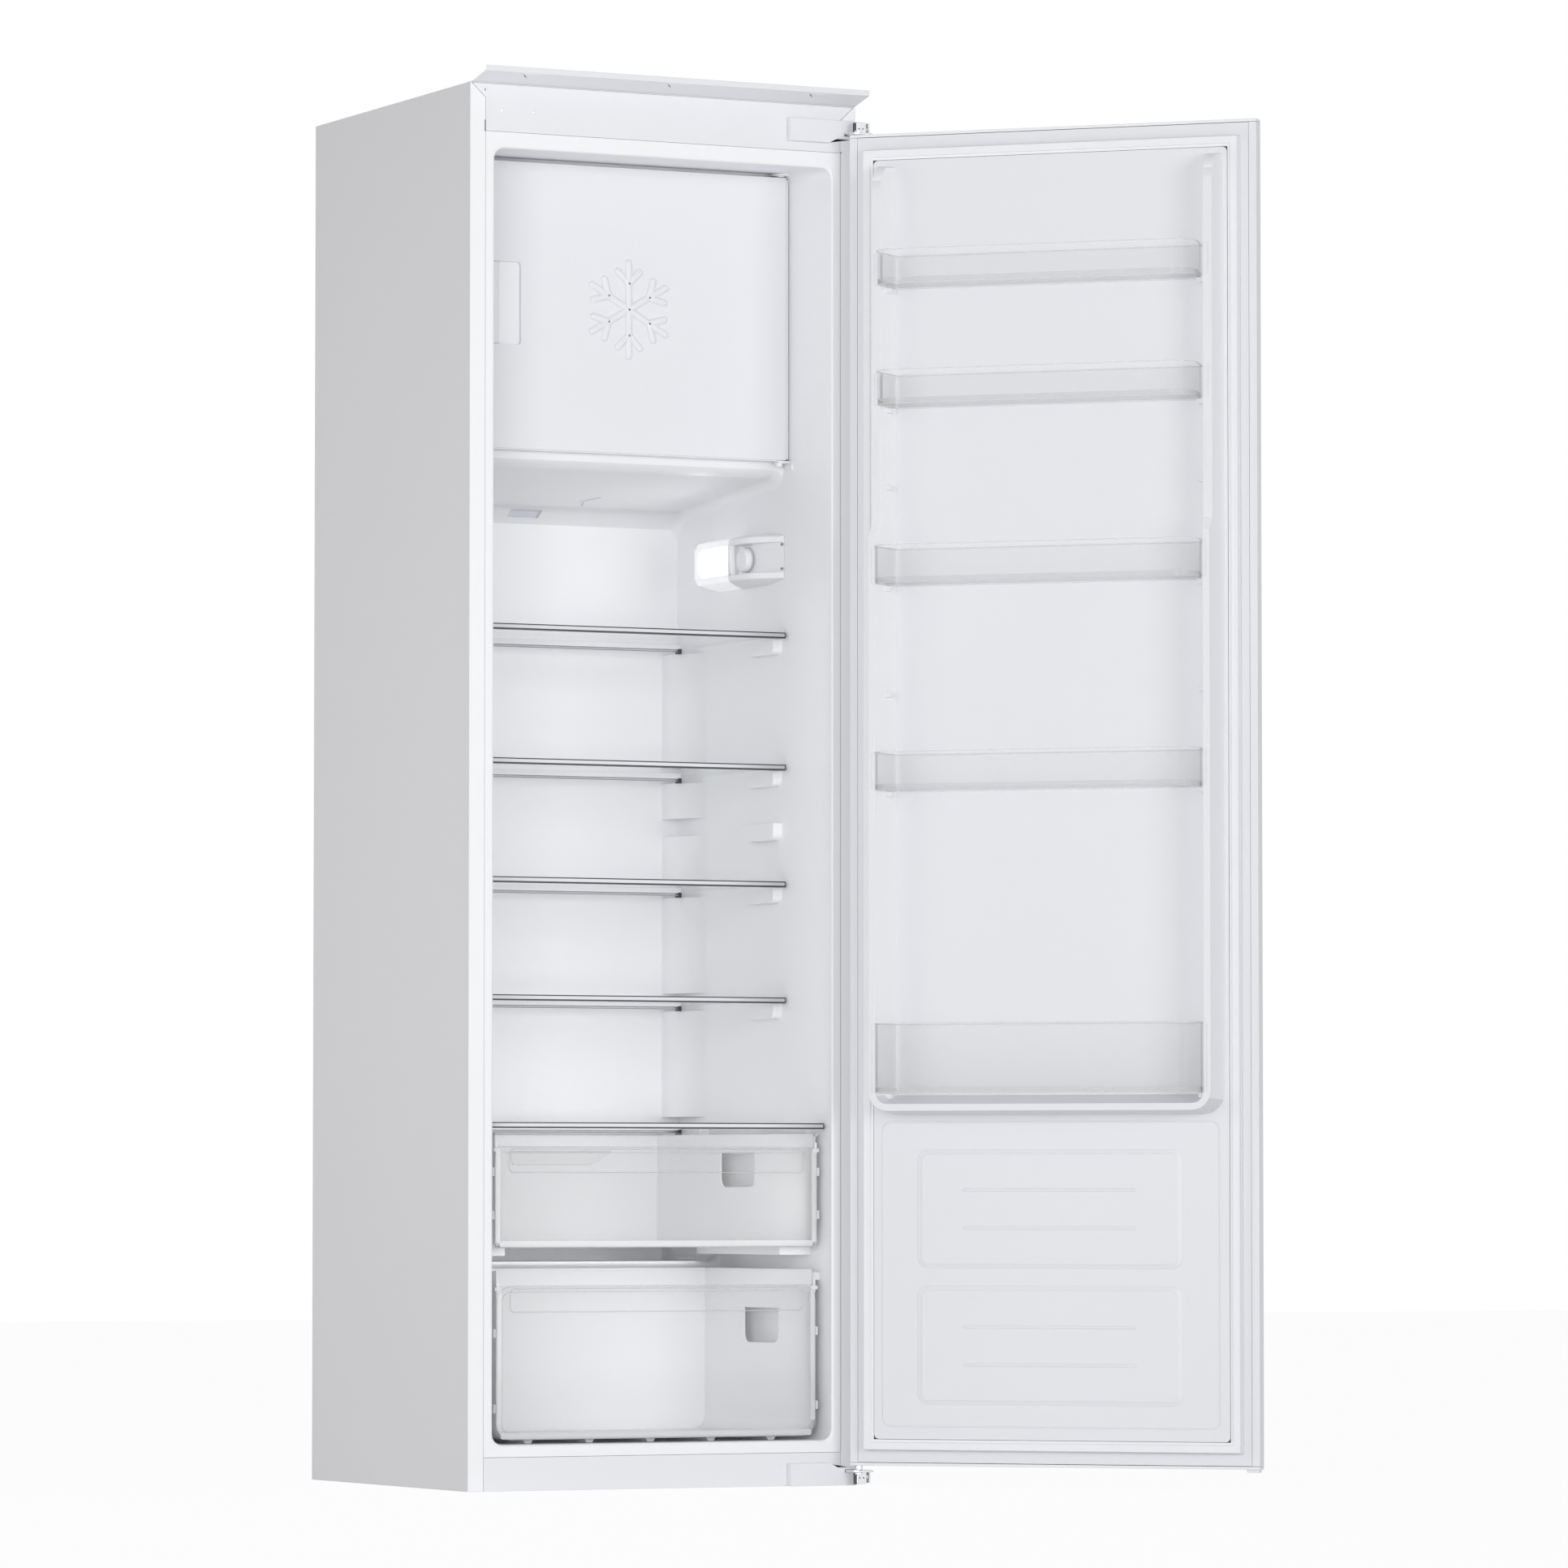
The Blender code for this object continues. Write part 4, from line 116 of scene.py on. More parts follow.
FINISHES = {
    "white_plastic": dict(WHITE_KIND, colour=(0.83, 0.838, 0.868)),
    # Painted light: a copy of the white plastic made lighter, to lift the shade inside the cavity
    "liner_white": dict(WHITE_KIND, colour=(0.92, 0.926, 0.945)),
    # Painted shade: a copy of the white plastic made darker, for the shade on the door
    "door_white": dict(WHITE_KIND, colour=(0.765, 0.773, 0.803)),
    # Partly the sides' own grey and partly painted shade: made darker for the light that the sides
    # lose
    "cabinet_steel": dict(
        SHEET_KIND, colour=(0.665, 0.662, 0.682), roughness=0.42, tint=(1.5, 0.015),
    ),
    "door_steel": dict(SHEET_KIND, colour=(0.78, 0.79, 0.82), roughness=0.35, tint=(1.5, 0.012)),
    "foam": dict(
        colour=(0.78, 0.70, 0.46), roughness=0.9, cells=("bump",),
        tint=(40, 0.10), bump=(500, 0.0006),
    ),
    "zinc_sheet": dict(
        colour=(0.58, 0.59, 0.60), roughness=0.45, Metallic=0.9,
        cells=("tint", "vary"), tint=(90, 0.10), vary=(90, 0.12),
    ),
    "hinge_metal": dict(
        colour=(0.72, 0.73, 0.75), roughness=0.22, Metallic=1.0,
        vary=(400, 0.08), bump=(900, 0.00002),
    ),
    "trim_silver": dict(
        colour=(0.60, 0.61, 0.63), roughness=0.28, Metallic=1.0,
        drawn=True, vary=(900, 0.10), bump=(2500, 0.00001),
    ),
    "trim_band": dict(
        # Painted shade: the band darkens towards its right end
        STRIP_KIND, colour=(0.62, 0.625, 0.65), roughness=0.34, fade=(0.13, 0.228, 0.78),
    ),
    "trim_dark": dict(STRIP_KIND, colour=(0.055, 0.056, 0.06), roughness=0.35, Metallic=0.3),
    "trim_pale": dict(STRIP_KIND, colour=(0.86, 0.8686, 0.8944), roughness=0.35),
    "trim_line": dict(STRIP_KIND, colour=(0.36, 0.3636, 0.3744), roughness=0.35),
    "seam_dark": dict(MARK_KIND, colour=(0.04, 0.04, 0.0432)),
    # Painted shade in the lamp housing's slots
    "seam_grey": dict(MARK_KIND, colour=(0.30, 0.30, 0.324)),
    # Grey of the front seams, and painted shade on the ceiling's edges and around the thermostat's
    # dial
    "edge_grey": dict(MARK_KIND, colour=(0.56, 0.56, 0.6048)),
    # Painted shade of the pocket in the ceiling's chamfer
    "pocket_grey": dict(MARK_KIND, colour=(0.74, 0.74, 0.7992)),
    "plug_white": dict(colour=(0.95, 0.95, 0.95), roughness=0.4, tint=(300, 0.02)),
    "shelf_glass": dict(
        colour=(0.90, 0.93, 0.925), roughness=0.02, IOR=1.5, Alpha=0.12, vary=(25, 0.01),
    ),
    "drawer_plastic": dict(CLEAR_KIND, colour=(0.955, 0.96, 0.975), roughness=0.25, Alpha=0.88),
    "drawer_panel": dict(CLEAR_KIND, colour=(0.97, 0.975, 0.99), roughness=0.10, Alpha=0.04),
    "clear_band": dict(CLEAR_KIND, colour=(0.95, 0.955, 0.97), Alpha=0.50),
    "clear_line": dict(CLEAR_KIND, colour=(0.78, 0.785, 0.805), Alpha=0.40),
    "clear_edge": dict(CLEAR_KIND, colour=(0.62, 0.625, 0.645), Alpha=0.55),
    "clear_haze": dict(CLEAR_KIND, colour=(0.95, 0.955, 0.97), Alpha=0.15),
    "clear_plastic": dict(
        CLEAR_KIND, colour=(0.97, 0.975, 0.985), roughness=0.10, Alpha=0.04, vary=(50, 0.03),
    ),
    "gasket_rubber": dict(
        colour=(0.84, 0.847, 0.87), roughness=0.6, tint=(20, 0.02), bump=(1200, 0.00004),
    ),
    "black_paint": dict(
        colour=(0.03, 0.03, 0.032), roughness=0.45, tint=(60, 0.15), bump=(700, 0.00006),
    ),
    "tray_plastic": dict(
        colour=(0.06, 0.06, 0.063), roughness=0.5, vary=(80, 0.08), bump=(1500, 0.00003),
    ),
    "evaporator_aluminium": dict(
        colour=(0.64, 0.65, 0.67), roughness=0.55, Metallic=0.8, cells=("bump",),
        vary=(60, 0.10), bump=(250, 0.00008),
    ),
    "copper": dict(
        colour=(0.80, 0.42, 0.26), roughness=0.35, Metallic=1.0, tint=(50, 0.12), vary=(120, 0.10),
    ),
    "lamp_lens": dict(LAMP_KIND, Emission_Color=WHITE, Emission_Strength=0.25),
    "lamp_core": dict(LAMP_KIND, Emission_Color=WHITE, Emission_Strength=4.5),
    "led_board": dict(
        colour=(0.85, 0.86, 0.80), roughness=0.5, tint=(200, 0.05), vary=(100, 0.05),
    ),
}
OWN_LOOKS = {  # of CAD nodes that look different from their slot in the record
    "upper_drawer_tub": "drawer_plastic",
    "lower_drawer_tub": "drawer_plastic",
    "upper_drawer_front": "drawer_panel",
    "lower_drawer_front": "drawer_panel",
    # The liner and its pins take the lighter copy of the white, as painted light, and the door
    # liner the darker copy, as painted shade
    "inner_liner": "liner_white",
    "door_liner": "door_white",
    "icebox_pin_lower": "liner_white",
    "icebox_pin_upper": "liner_white",
}

# Shading and rounding of every piece
WELD = 0.000002
FLAT_DEGREES = 0.5
CREASE_DEGREES = 32
SMOOTH_DEGREES = 50
EDGE = 0.0004
EDGE_STEPS = 2
EASE = 0.3  # of a slab's edge, where its rounding is widest
TINY = 0.0001
THIN = (0, 0.0002, 0.0001)  # foot, top and edge of a mark on a surface

# Cabinet
HALF_DEPTH = 0.2425
CAVITY_HALF, CAVITY_DRAFT = 0.23604, 0.01382  # at its front, and lost with each unit of depth
SLOPE_COS, SLOPE_SIN, SLOPE_FOOT = 0.9756, 0.2195, 1.7553
STRIP_DEPTH, STRIP_HALF = 0.0012, 0.2696  # where the shell's folded front strips end
BAY_START, BAY_TOP = 0.05, 0.28
PLUGS = ((-0.2264, 1.7214), (-0.1824, 1.7214))
PLUG_RADIUS, PLUG_ROUND, PLUG_RISE, PLUG_DEPTH = 0.00235, 0.0012, 0.0006, 0.0008
SLOT_HALF, SEAM_HALF = 0.0005, 0.00028
CLIP_SLOTS = ((-0.2494, 1.6939, 1.7080), (-0.2494, 1.7445, 1.7475), (0.2494, 1.6940, 1.6962))
SEAMS = ((-0.2487, 0.0425, 1.6940), (0.2487, 0.0425, 1.6940))
CLIPS = (-0.198, 0.002, 0.202)
CLIP_MIDDLE, CLIP_RISE, CLIP_FOCUS = 0.038, 0.0125, 0.034
CLIP_HALF, CLIP_STEPS = 0.0135, 16
CLIP_PROFILE = ((0, 0), (0, 0.0002), (0.06, 0.0005))  # share of the way in, and height
CLIP_SLIT = ((-0.0131, 0.0335), (-0.0075, 0.0268))
CEILING_START, CEILING_HEIGHT = 0.401, 1.265
CEILING_TAN, CEILING_SIN, CEILING_COS = 0.0947, 0.0942, 0.9956
CHAMFER_SIN, CHAMFER_COS = 0.5214, 0.8533
POCKET = (-0.0230, 0.0212, 0.0115, 0.0280)  # left, right, near and far
STEP_MARKS = ((0.0538, 0.3622, 0.0666, 0.3277), (0.0612, 0.3700, 0.0696, 0.3924))

# Icebox door
ICEBOX_FACE = 0.113
ICEBOX_PIN = (0.2215, 0.120)
FLAKE = (0.0034, 1.4928)
FLAKE_ARMS = 6
FLAKE_BAR, FLAKE_ROUND, FLAKE_RISE = 0.0096, 0.0040, 0.0032
FLAKE_BARS = (  # ends of each bar of an arm, along and across it
    ((0.0, 0), (0.0596, 0)),
    ((0.0328, 0), (0.0485, -0.0155)),
    ((0.0328, 0), (0.0485, 0.0155)),
)
ICEBOX_BAR = (-0.2284, -0.1782, 1.4417, 1.5458)  # left, right, low and high
ICEBOX_HOLLOW = (-0.1770, -0.1480, 1.4412, 1.5458)
ICEBOX_SEALS = (  # place, foot and top of each
    ((0.2290, 0.2334, 1.3110, 1.6725), -0.0090, -0.0035),
    ((-0.2270, 0.2270, 1.3080, 1.3110), -0.0100, -0.0040),
)
ICEBOX_LEAF = (  # of the upper hinge: x, and y from its pin
    (0.2104, -0.0040), (0.2150, -0.0120), (0.2200, -0.0155), (0.2330, -0.0165),
    (0.2342, -0.0150), (0.2342, 0.0060), (0.2104, 0.0060),
)
LEAF_MIDDLE, LEAF_REACH = (0.2225, -0.005), 0.010  # where its inset points move to
LEAF_PROFILE = ((0.0010, 1.6762), (0.0003, 1.6765), (0, 1.6771), (0, 1.6785))
ICEBOX_WASHER = (0.0050, ((0.0006, 1.6744), (0, 1.6748), (0, 1.6760)))  # radius and profile
PIVOT_COLLAR = (0.0065, ((0.0006, 1.3080), (0, 1.3083), (0, 1.3091)))
PIVOT_STEM = (0.0044, ((0.0010, 1.3013), (0.0003, 1.3016), (0, 1.3023), (0, 1.3080)))
ICEBOX_STOP = (0.1060, 0.1090, 1.2965, 1.3045)

# Lamp: depths are from the cabinet's front, and rises from the lamp's middle
LAMP_MIDDLE, LAMP_HALF, LAMP_RAIL_IN = 1.1865, 0.0335, 0.0195
LAMP_SPLIT, LAMP_REAR, LAMP_PROUD, LAMP_CORNER, LAMP_FACE = 0.216, 0.332, 0.0375, 0.026, 0.0275
LAMP_FRONT, LAMP_KNEE, LAMP_LENS_FLAT = 0.130, 0.168, 0.262
LAMP_EDGE = 0.002
LENS_LIP, LENS_START, LENS_SLANT, LENS_LEAN = 0.005, 0.2137, 0.037, 0.0045  # where the two meet
LENS_DRAW, LENS_PINCH, LENS_SOFTEN = 0.007, 0.0035, 0.005  # as the lens rounds over
HOUSING_RAMP = (0.002, 0.855)  # how proud it starts, and what it gains with each unit of depth
HOUSING_FLAT = (0.0345, 0.0625)
HOUSING_FLOOR, HOUSING_FLOOR_END = (0.0012, 0.236), 0.0215
HOUSING_EASE, HOUSING_EASE_REACH = 0.0026, 0.011
HOUSING_FLARE, HOUSING_FLARE_POWER = 0.045, 0.8
HOUSING_DEPTHS = (
    LAMP_FRONT, 0.1304, 0.1340, 0.1400, 0.1460, 0.1520, 0.1570, 0.1620, 0.1670, 0.1730, 0.1900,
)
CORE_DEPTHS = (0.2172, 0.2180, 0.2400, 0.2650, 0.2800, 0.2880, 0.2940, 0.2980, 0.3000)
CORE_HALF, CORE_DRAWN, CORE_BEND, CORE_END = 0.0182, 0.0070, 0.280, 0.020
LAMP_SLOTS, LAMP_SLOT_SPAN, LAMP_SLOT_HALF = (1.1715, 1.2028), (0.1302, 0.1345), 0.0014
DIAL_DEPTH, DIAL_RADIUS, DIAL_SIDES = 0.1995, 0.0158, 64
DIAL_PROFILE = (  # inset and height of each step
    (0, 0.0192), (0, 0.0240), (0.0005, 0.0256), (0.0014, 0.0266), (0.0026, 0.0271),
    (0.0040, 0.0272), (0.008, 0.0273), (0.0153, 0.0274),
)
RING_RADIUS, RING_PROFILE = 0.0162, ((0, 0.0172), (0, 0.0194), (0.0006, 0.0194))
DIMPLES, DIMPLE_RADIUS = ((0.1935, 1.1795), (0.1935, 1.1935)), 0.0020
DIMPLE_PROFILE = ((0, 0.0262), (0, 0.0274), (0.0006, 0.0281), (0.0014, 0.0284))

# Shelves
SHELF_FOOT, SHELF_SPAN = 0.4577, 0.6953
SHELF_SHARES = (0.907, 0.6626, 0.4467, 0.2327)
SHELVES = [  # top, depth of the front, and half the front trim's width
    *((SHELF_FOOT + SHELF_SPAN * share, 0.121, 0.2314) for share in SHELF_SHARES),
    (SHELF_FOOT, 0.015, 0.2324),
]
SHELF_BAND = (0.0058, 0.0011)  # how far below the top it starts and ends
SHELF_LINES = ((0.0013, 0), (0.0074, 0.0056))
SHELF_REAR = 0.400
REAR_HALF, REAR_BODY, REAR_DROP, REAR_SLOPE = 0.2135, 0.0100, 0.0098, 0.0034
REAR_LINES = (-0.0004, 0.0022)

# Drawers
DRAWER_FACE = 0.019
DRAWER_WALL_REAR = 0.0250
GRIP_MARGIN, GRIP_HEIGHT = 0.019, 0.0292
DRAWER_TAPER = 0.0662  # of its half-width, for each unit of depth
DRAWERS = {
    "upper": dict(
        half=0.2245, low=0.3012, high=0.4274, corner=0.006, strip_top=0.4243,
        nubs=(0.396, 0.342), rear=0.427, rim=0.4447,
    ),
    "lower": dict(
        half=0.2225, low=0.0624, high=0.2538, corner=0.020, strip_top=0.2503,
        nubs=(0.195, 0.1015), rear=0.298, rim=0.2727,
    ),
}
GRIP = (-0.2035, -0.0640, 0.4045, 0.4215)  # left, right, low and high
GRIP_CORNER, GRIP_CURVE, GRIP_STEPS = 0.004, 0.036, 8

# Main door: places are along it from its hinge edge, and thick from its inner face
DOOR_TURN = 135.2
DOOR_PIN = (0.007, 0.014)
DOOR_AXIS = (0.260, -0.2705)
DOOR_WIDTH = 0.534
RIDGE_STEP = 1.195
RIDGE_TOPS = (0.0513, 0.0653)  # above and below the step
RIDGE_BASE, RIDGE_FOOT, RIDGE_FLAT = 0.0135, 0.490, 0.8
RIDGE_MARK_BASE = 0.0508
RIDGE_MARKS, MARK_PLACES = ((1.2700, 1.3300), (1.0240, 1.0540)), (0.0520, 0.4820)
GASKET_RING = (0.021, 0.513, 0.046, 1.692)
GASKET_PROFILE = (  # inset and height of each step
    (0, 0.0004), (0, 0.0050), (0.0012, 0.0062), (0.0004, 0.0076), (0.0004, 0.0122),
    (0.0012, 0.0134), (0.0092, 0.0134), (0.0100, 0.0126), (0.0104, 0.0112), (0.0135, 0.0108),
    (0.0137, 0.0100), (0.0116, 0.0086), (0.0116, 0.0004),
)
HINGE_FRONT = -0.0262
HINGE_PLATES = {"upper": (1.7146, 1.7321), "lower": (0.0018, 0.0180)}
HINGE_PLATE, HINGE_EDGE = (0.2575, 0.2712), (0.2552, 0.2580)
HINGE_SCREWS = (0.2615, 0.2668)
LINER_BASE, LINER_RAISED = 0.011, 0.0131
LINER_BEAD = (0.0460, 0.4878, 0.0750, 0.4600)
LINER_PANELS = ((0.0926, 0.4384, 0.2742, 0.4243), (0.0926, 0.4384, 0.1031, 0.2534))
PANEL_PROFILE = (
    (0, -0.0002), (0.0008, 0.0010), (0.0050, 0.0010), (0.0060, 0.0021), (0.0070, 0.0022),
)
LINER_RIBS = (0.3730, 0.3255, 0.2015, 0.1540)
RIB_START, RIB_END, RIB_WIDTH = 0.1550, 0.3770, 0.0042

# Door bins
BIN_FOOT, BIN_REAR, BIN_SHOULDER, BIN_FRONT, BIN_ARC = 0.06697, 0.0125, 0.066, 0.098, 0.028
BIN_SHOULDERS = (0.0584, 0.0555)  # above and below the ridges' step
BIN_STEPS = 8
HOOK_START, HOOK_OVERLAP, HOOK_LIP = 0.0490, 0.0014, (0.0484, 0.0498)
BINS = {  # foot and height of each
    "door_bin_1": (1.51194, 0.043),
    "door_bin_2": (1.35996, 0.043),
    "door_bin_3": (1.13455, 0.048),
    "door_bin_4": (0.87446, 0.048),
    "bottle_bin": (0.494, 0.088),
}
RIM_LEVELS = ((-0.0014, 0), (-0.0004, -0.0006), (0, 0), (0, 0.0018), (-0.0014, 0.0018))
BASE_LEVELS = ((0.0002, 0.0026), (0.0002, 0.0016), (0.0070, 0.0010), (0.0070, 0.0024))
FOOT_LEVELS = ((-0.0001, 0.0030), (-0.0001, 0.0020), (0.0008, 0.0015), (0.0008, 0.0030))


# Studio


def camera():
    data = bpy.data.cameras.new("camera")
    data.lens = LENS
    data.sensor_width = SENSOR
    made = bpy.data.objects.new("camera", data)
    made.location = CAMERA_PLACE
    made.rotation_euler = (math.radians(90 + CAMERA_PITCH), 0, math.radians(-CAMERA_YAW))
    bpy.context.scene.collection.objects.link(made)
    bpy.context.scene.camera = made


def area_light(name, place, turn, size, power):
    """A soft light that the camera doesn't see."""
    data = bpy.data.lights.new(name, "AREA")
    data.size = size
    data.energy = power
    made = bpy.data.objects.new(name, data)
    made.location = place
    made.rotation_euler = turn
    made.visible_camera = False
    bpy.context.scene.collection.objects.link(made)
    return made


def soft_light(name, place, size, power):
    turn = (Vector(AIM) - Vector(place)).to_track_quat("-Z", "Y").to_euler()
    area_light(name, place, turn, size, power)


def fill_light(name, place, width, height, power):
    """An upright sheet of light that shines in."""
    made = area_light(name, place, (math.radians(90), 0, 0), width, power)
    made.visible_glossy = False
    made.data.shape = "RECTANGLE"
    made.data.size_y = height
    made.data.spread = math.radians(FILL_SPREAD)


def seen_directly(tree):
    """One where a ray from the camera, a mirror or a pane looks, and zero for the light."""
    path = tree.nodes.new("ShaderNodeLightPath")
    total = path.outputs["Is Camera Ray"]
    for name in ("Is Glossy Ray", "Is Transmission Ray"):
        add = tree.nodes.new("ShaderNodeMath")
        add.operation = "MAXIMUM"
        tree.links.new(total, add.inputs[0])
        tree.links.new(path.outputs[name], add.inputs[1])
        total = add.outputs[0]
    return total


def mixed(tree, end, share, first, second):
    """Ends the tree in a mix of two shaders."""
    mix = tree.nodes.new("ShaderNodeMixShader")
    tree.links.new(share, mix.inputs["Fac"])
    tree.links.new(first.outputs[0], mix.inputs[1])
    tree.links.new(second.outputs[0], mix.inputs[2])
    tree.links.new(mix.outputs[0], tree.nodes[end].inputs["Surface"])


def world():
    made = bpy.data.worlds.new("studio")
    bpy.context.scene.world = made
    made.use_nodes = True
    tree = made.node_tree
    light = tree.nodes["Background"]
    light.inputs["Color"].default_value = WHITE
    light.inputs["Strength"].default_value = WORLD_LIGHT
    white = tree.nodes.new("ShaderNodeBackground")
    white.inputs["Color"].default_value = WHITE
    mixed(tree, "World Output", seen_directly(tree), light, white)


def floor():
    mesh = bpy.data.meshes.new("studio_floor")
    half = FLOOR_HALF
    corners = [(-half, -half, 0), (half, -half, 0), (half, half, 0), (-half, half, 0)]
    mesh.from_pydata(corners, [], [(0, 1, 2, 3)])
    made = bpy.data.objects.new("studio_floor", mesh)
    bpy.context.scene.collection.objects.link(made)
    made.location.z = CAD_BOX[0][2] - FLOOR_GAP
    material = bpy.data.materials.new("studio_floor")
    material.use_nodes = True
    tree = material.node_tree
    paper = tree.nodes["Principled BSDF"]
    paper.inputs["Base Color"].default_value = (FLOOR_TONE, FLOOR_TONE, FLOOR_TONE, 1)
    paper.inputs["Roughness"].default_value = 1.0
    share = tree.nodes.new("ShaderNodeMath")
    share.operation = "MULTIPLY"
    share.inputs[1].default_value = FLOOR_GLOW
    tree.links.new(seen_directly(tree), share.inputs[0])
    mixed(tree, "Material Output", share.outputs[0], paper, tree.nodes.new("ShaderNodeEmission"))
    mesh.materials.append(material)


# Materials


class Finish:
    """A Principled material whose colour, roughness and bump come from procedural nodes.

    cells names those of tint, vary and bump whose noise has cells. A drawn finish has
    its noises stretched along x. Other sockets of the shader are given by name.
    """

    def __init__(self, name, colour, roughness, cells=(), drawn=False, **facts):
        self.material = bpy.data.materials.new(name)
        self.material.use_nodes = True
        self.nodes = self.material.node_tree.nodes
        self.links = self.material.node_tree.links
        self.shader = self.nodes["Principled BSDF"]
        self.colour, self.roughness, self.drawn = (*colour, 1), roughness, drawn
        self.shader.inputs["Base Color"].default_value = self.colour
        self.shader.inputs["Roughness"].default_value = roughness
        self.where = self.nodes.new("ShaderNodeTexCoord").outputs["Object"]
        for step, change in (("tint", self.tint), ("vary", self.vary), ("bump", self.bump)):
            if step in facts:
                scale, amount = facts.pop(step)
                change(self.noise(scale, step in cells), amount)
        if "fade" in facts:
            self.fade(*facts.pop("fade"))
        for socket, value in facts.items():
            self.shader.inputs[socket.replace("_", " ")].default_value = value

    def noise(self, scale, cells):
        mapping = self.nodes.new("ShaderNodeMapping")
        if self.drawn:
            mapping.inputs["Scale"].default_value = STRETCH
        texture = self.nodes.new("ShaderNodeTexVoronoi" if cells else "ShaderNodeTexNoise")
        texture.inputs["Scale"].default_value = scale
        self.links.new(self.where, mapping.inputs["Vector"])
        self.links.new(mapping.outputs[0], texture.inputs["Vector"])
        return texture.outputs["Distance" if cells else "Fac"]

    def ramp(self, source, **ends):
        """The source's value brought between two ends."""
        ramp = self.nodes.new("ShaderNodeMapRange")
        for socket, value in ends.items():
            ramp.inputs[socket.replace("_", " ")].default_value = value
        self.links.new(source, ramp.inputs["Value"])
        return ramp

    def multiply(self, share):
        """Multiplies the colour by this share."""
        mix = self.nodes.new("ShaderNodeMix")
        mix.data_type = "RGBA"
        mix.blend_type = "MULTIPLY"
        mix.inputs["Factor"].default_value = 1
        mix.inputs[MIX_FIRST].default_value = self.colour
        self.links.new(share, mix.inputs[MIX_SECOND])
        self.links.new(mix.outputs[MIX_RESULT], self.shader.inputs["Base Color"])

    def tint(self, source, spread):
        """Varies the colour by this share each way."""
        self.multiply(self.ramp(source, To_Min=1 - spread, To_Max=1 + spread).outputs[0])

    def fade(self, start, end, share):
        """Darkens the colour to this share between two places along x, as painted shade."""
        split = self.nodes.new("ShaderNodeSeparateXYZ")
        self.links.new(self.where, split.inputs[0])
        ends = {"From_Min": start, "From_Max": end, "To_Min": 1.0, "To_Max": share}
        ramp = self.ramp(split.outputs["X"], **ends)
        ramp.interpolation_type = "SMOOTHSTEP"
        self.multiply(ramp.outputs[0])

    def vary(self, source, spread):
        """Varies the roughness by this much each way."""
        low, high = max(0, self.roughness - spread), min(1, self.roughness + spread)
        ramp = self.ramp(source, To_Min=low, To_Max=high)
        self.links.new(ramp.outputs[0], self.shader.inputs["Roughness"])

    def bump(self, source, height):
        """Raises the surface by up to this height."""
        bump = self.nodes.new("ShaderNodeBump")
        bump.inputs["Distance"].default_value = height
        self.links.new(source, bump.inputs["Height"])
        self.links.new(bump.outputs[0], self.shader.inputs["Normal"])


def dress_nodes():
    """Gives each CAD node the finish that its slot in the record names."""
    for node, slot in SLOTS.items():
        mesh = NODES[node].data
        mesh.materials.clear()
        mesh.materials.append(LOOKS[slot])


# Places, in the cabinet's and the open door's own measures


def behind(depth):
    """The y of a place this deep behind the cabinet's front."""
    return depth - HALF_DEPTH


def on_front(depth):
    """Places on an upright plane this deep in the cabinet, moved out towards the front."""
    return lambda a, b, out: (a, behind(depth) - out, b)


def on_wall(depth, height, proud):
    """Places on the cavity's right wall."""
    return CAVITY_HALF - CAVITY_DRAFT * depth - proud, behind(depth), height


def on_slope(a, b, out):
    """Places on the underside of the top trim's slope."""
    y = behind(0) - SLOPE_COS * b - SLOPE_SIN * out
    return a, y, SLOPE_FOOT + SLOPE_SIN * b - SLOPE_COS * out


def on_ceiling(a, b, out):
    """Places on the larder's ceiling, before its chamfer."""
    y = behind(b) - CEILING_SIN * out
    return a, y, CEILING_HEIGHT + CEILING_TAN * (CEILING_START - b) - CEILING_COS * out


def on_chamfer(a, b, out):
    """Places on the chamfer between the larder's ceiling and its rear."""
    y = behind(CEILING_START) + CHAMFER_COS * b - CHAMFER_SIN * out
    return a, y, CEILING_HEIGHT - CHAMFER_SIN * b - CHAMFER_COS * out


def on_level(x, y, height):
    return x, y, height


def on_door(along, height, thick):
    """Places on the open door."""
    across, out = DOOR_PIN[0] - along, thick + DOOR_PIN[1]
    turn = math.radians(DOOR_TURN)
    return (
        DOOR_AXIS[0] + math.cos(turn) * across - math.sin(turn) * out,
        DOOR_AXIS[1] + math.sin(turn) * across + math.cos(turn) * out,
        height,
    )


def over_door(base, mirror=False):
    """Places this far over the open door's inner face, mirrored to its other edge if asked."""

    def put(along, height, out):
        return on_door(DOOR_WIDTH - along if mirror else along, height, out + base)

    return put


# Outlines, each a function of how far it is inset


def turns(start, sweep, steps):
    """Radians at even steps of a sweep given in degrees."""
    return [math.radians(start + sweep * step / steps) for step in range(steps + 1)]


def towards(points, middle, share_a, share_b):
    """Points moved towards the middle by these shares of their way."""
    return [(a + (middle[0] - a) * share_a, b + (middle[1] - b) * share_b) for a, b in points]


def around(a, b, radius, angles):
    """Points on a circle at these angles."""
    return [(a + radius * math.cos(turn), b + radius * math.sin(turn)) for turn in angles]


def average(points):
    return sum(a for a, b in points) / len(points), sum(b for a, b in points) / len(points)


def both_sides(half, inner, outer):
    """The low and high ends of a span, at a piece's left and right side."""
    return [sorted((side * (half + inner), side * (half + outer))) for side in (-1, 1)]


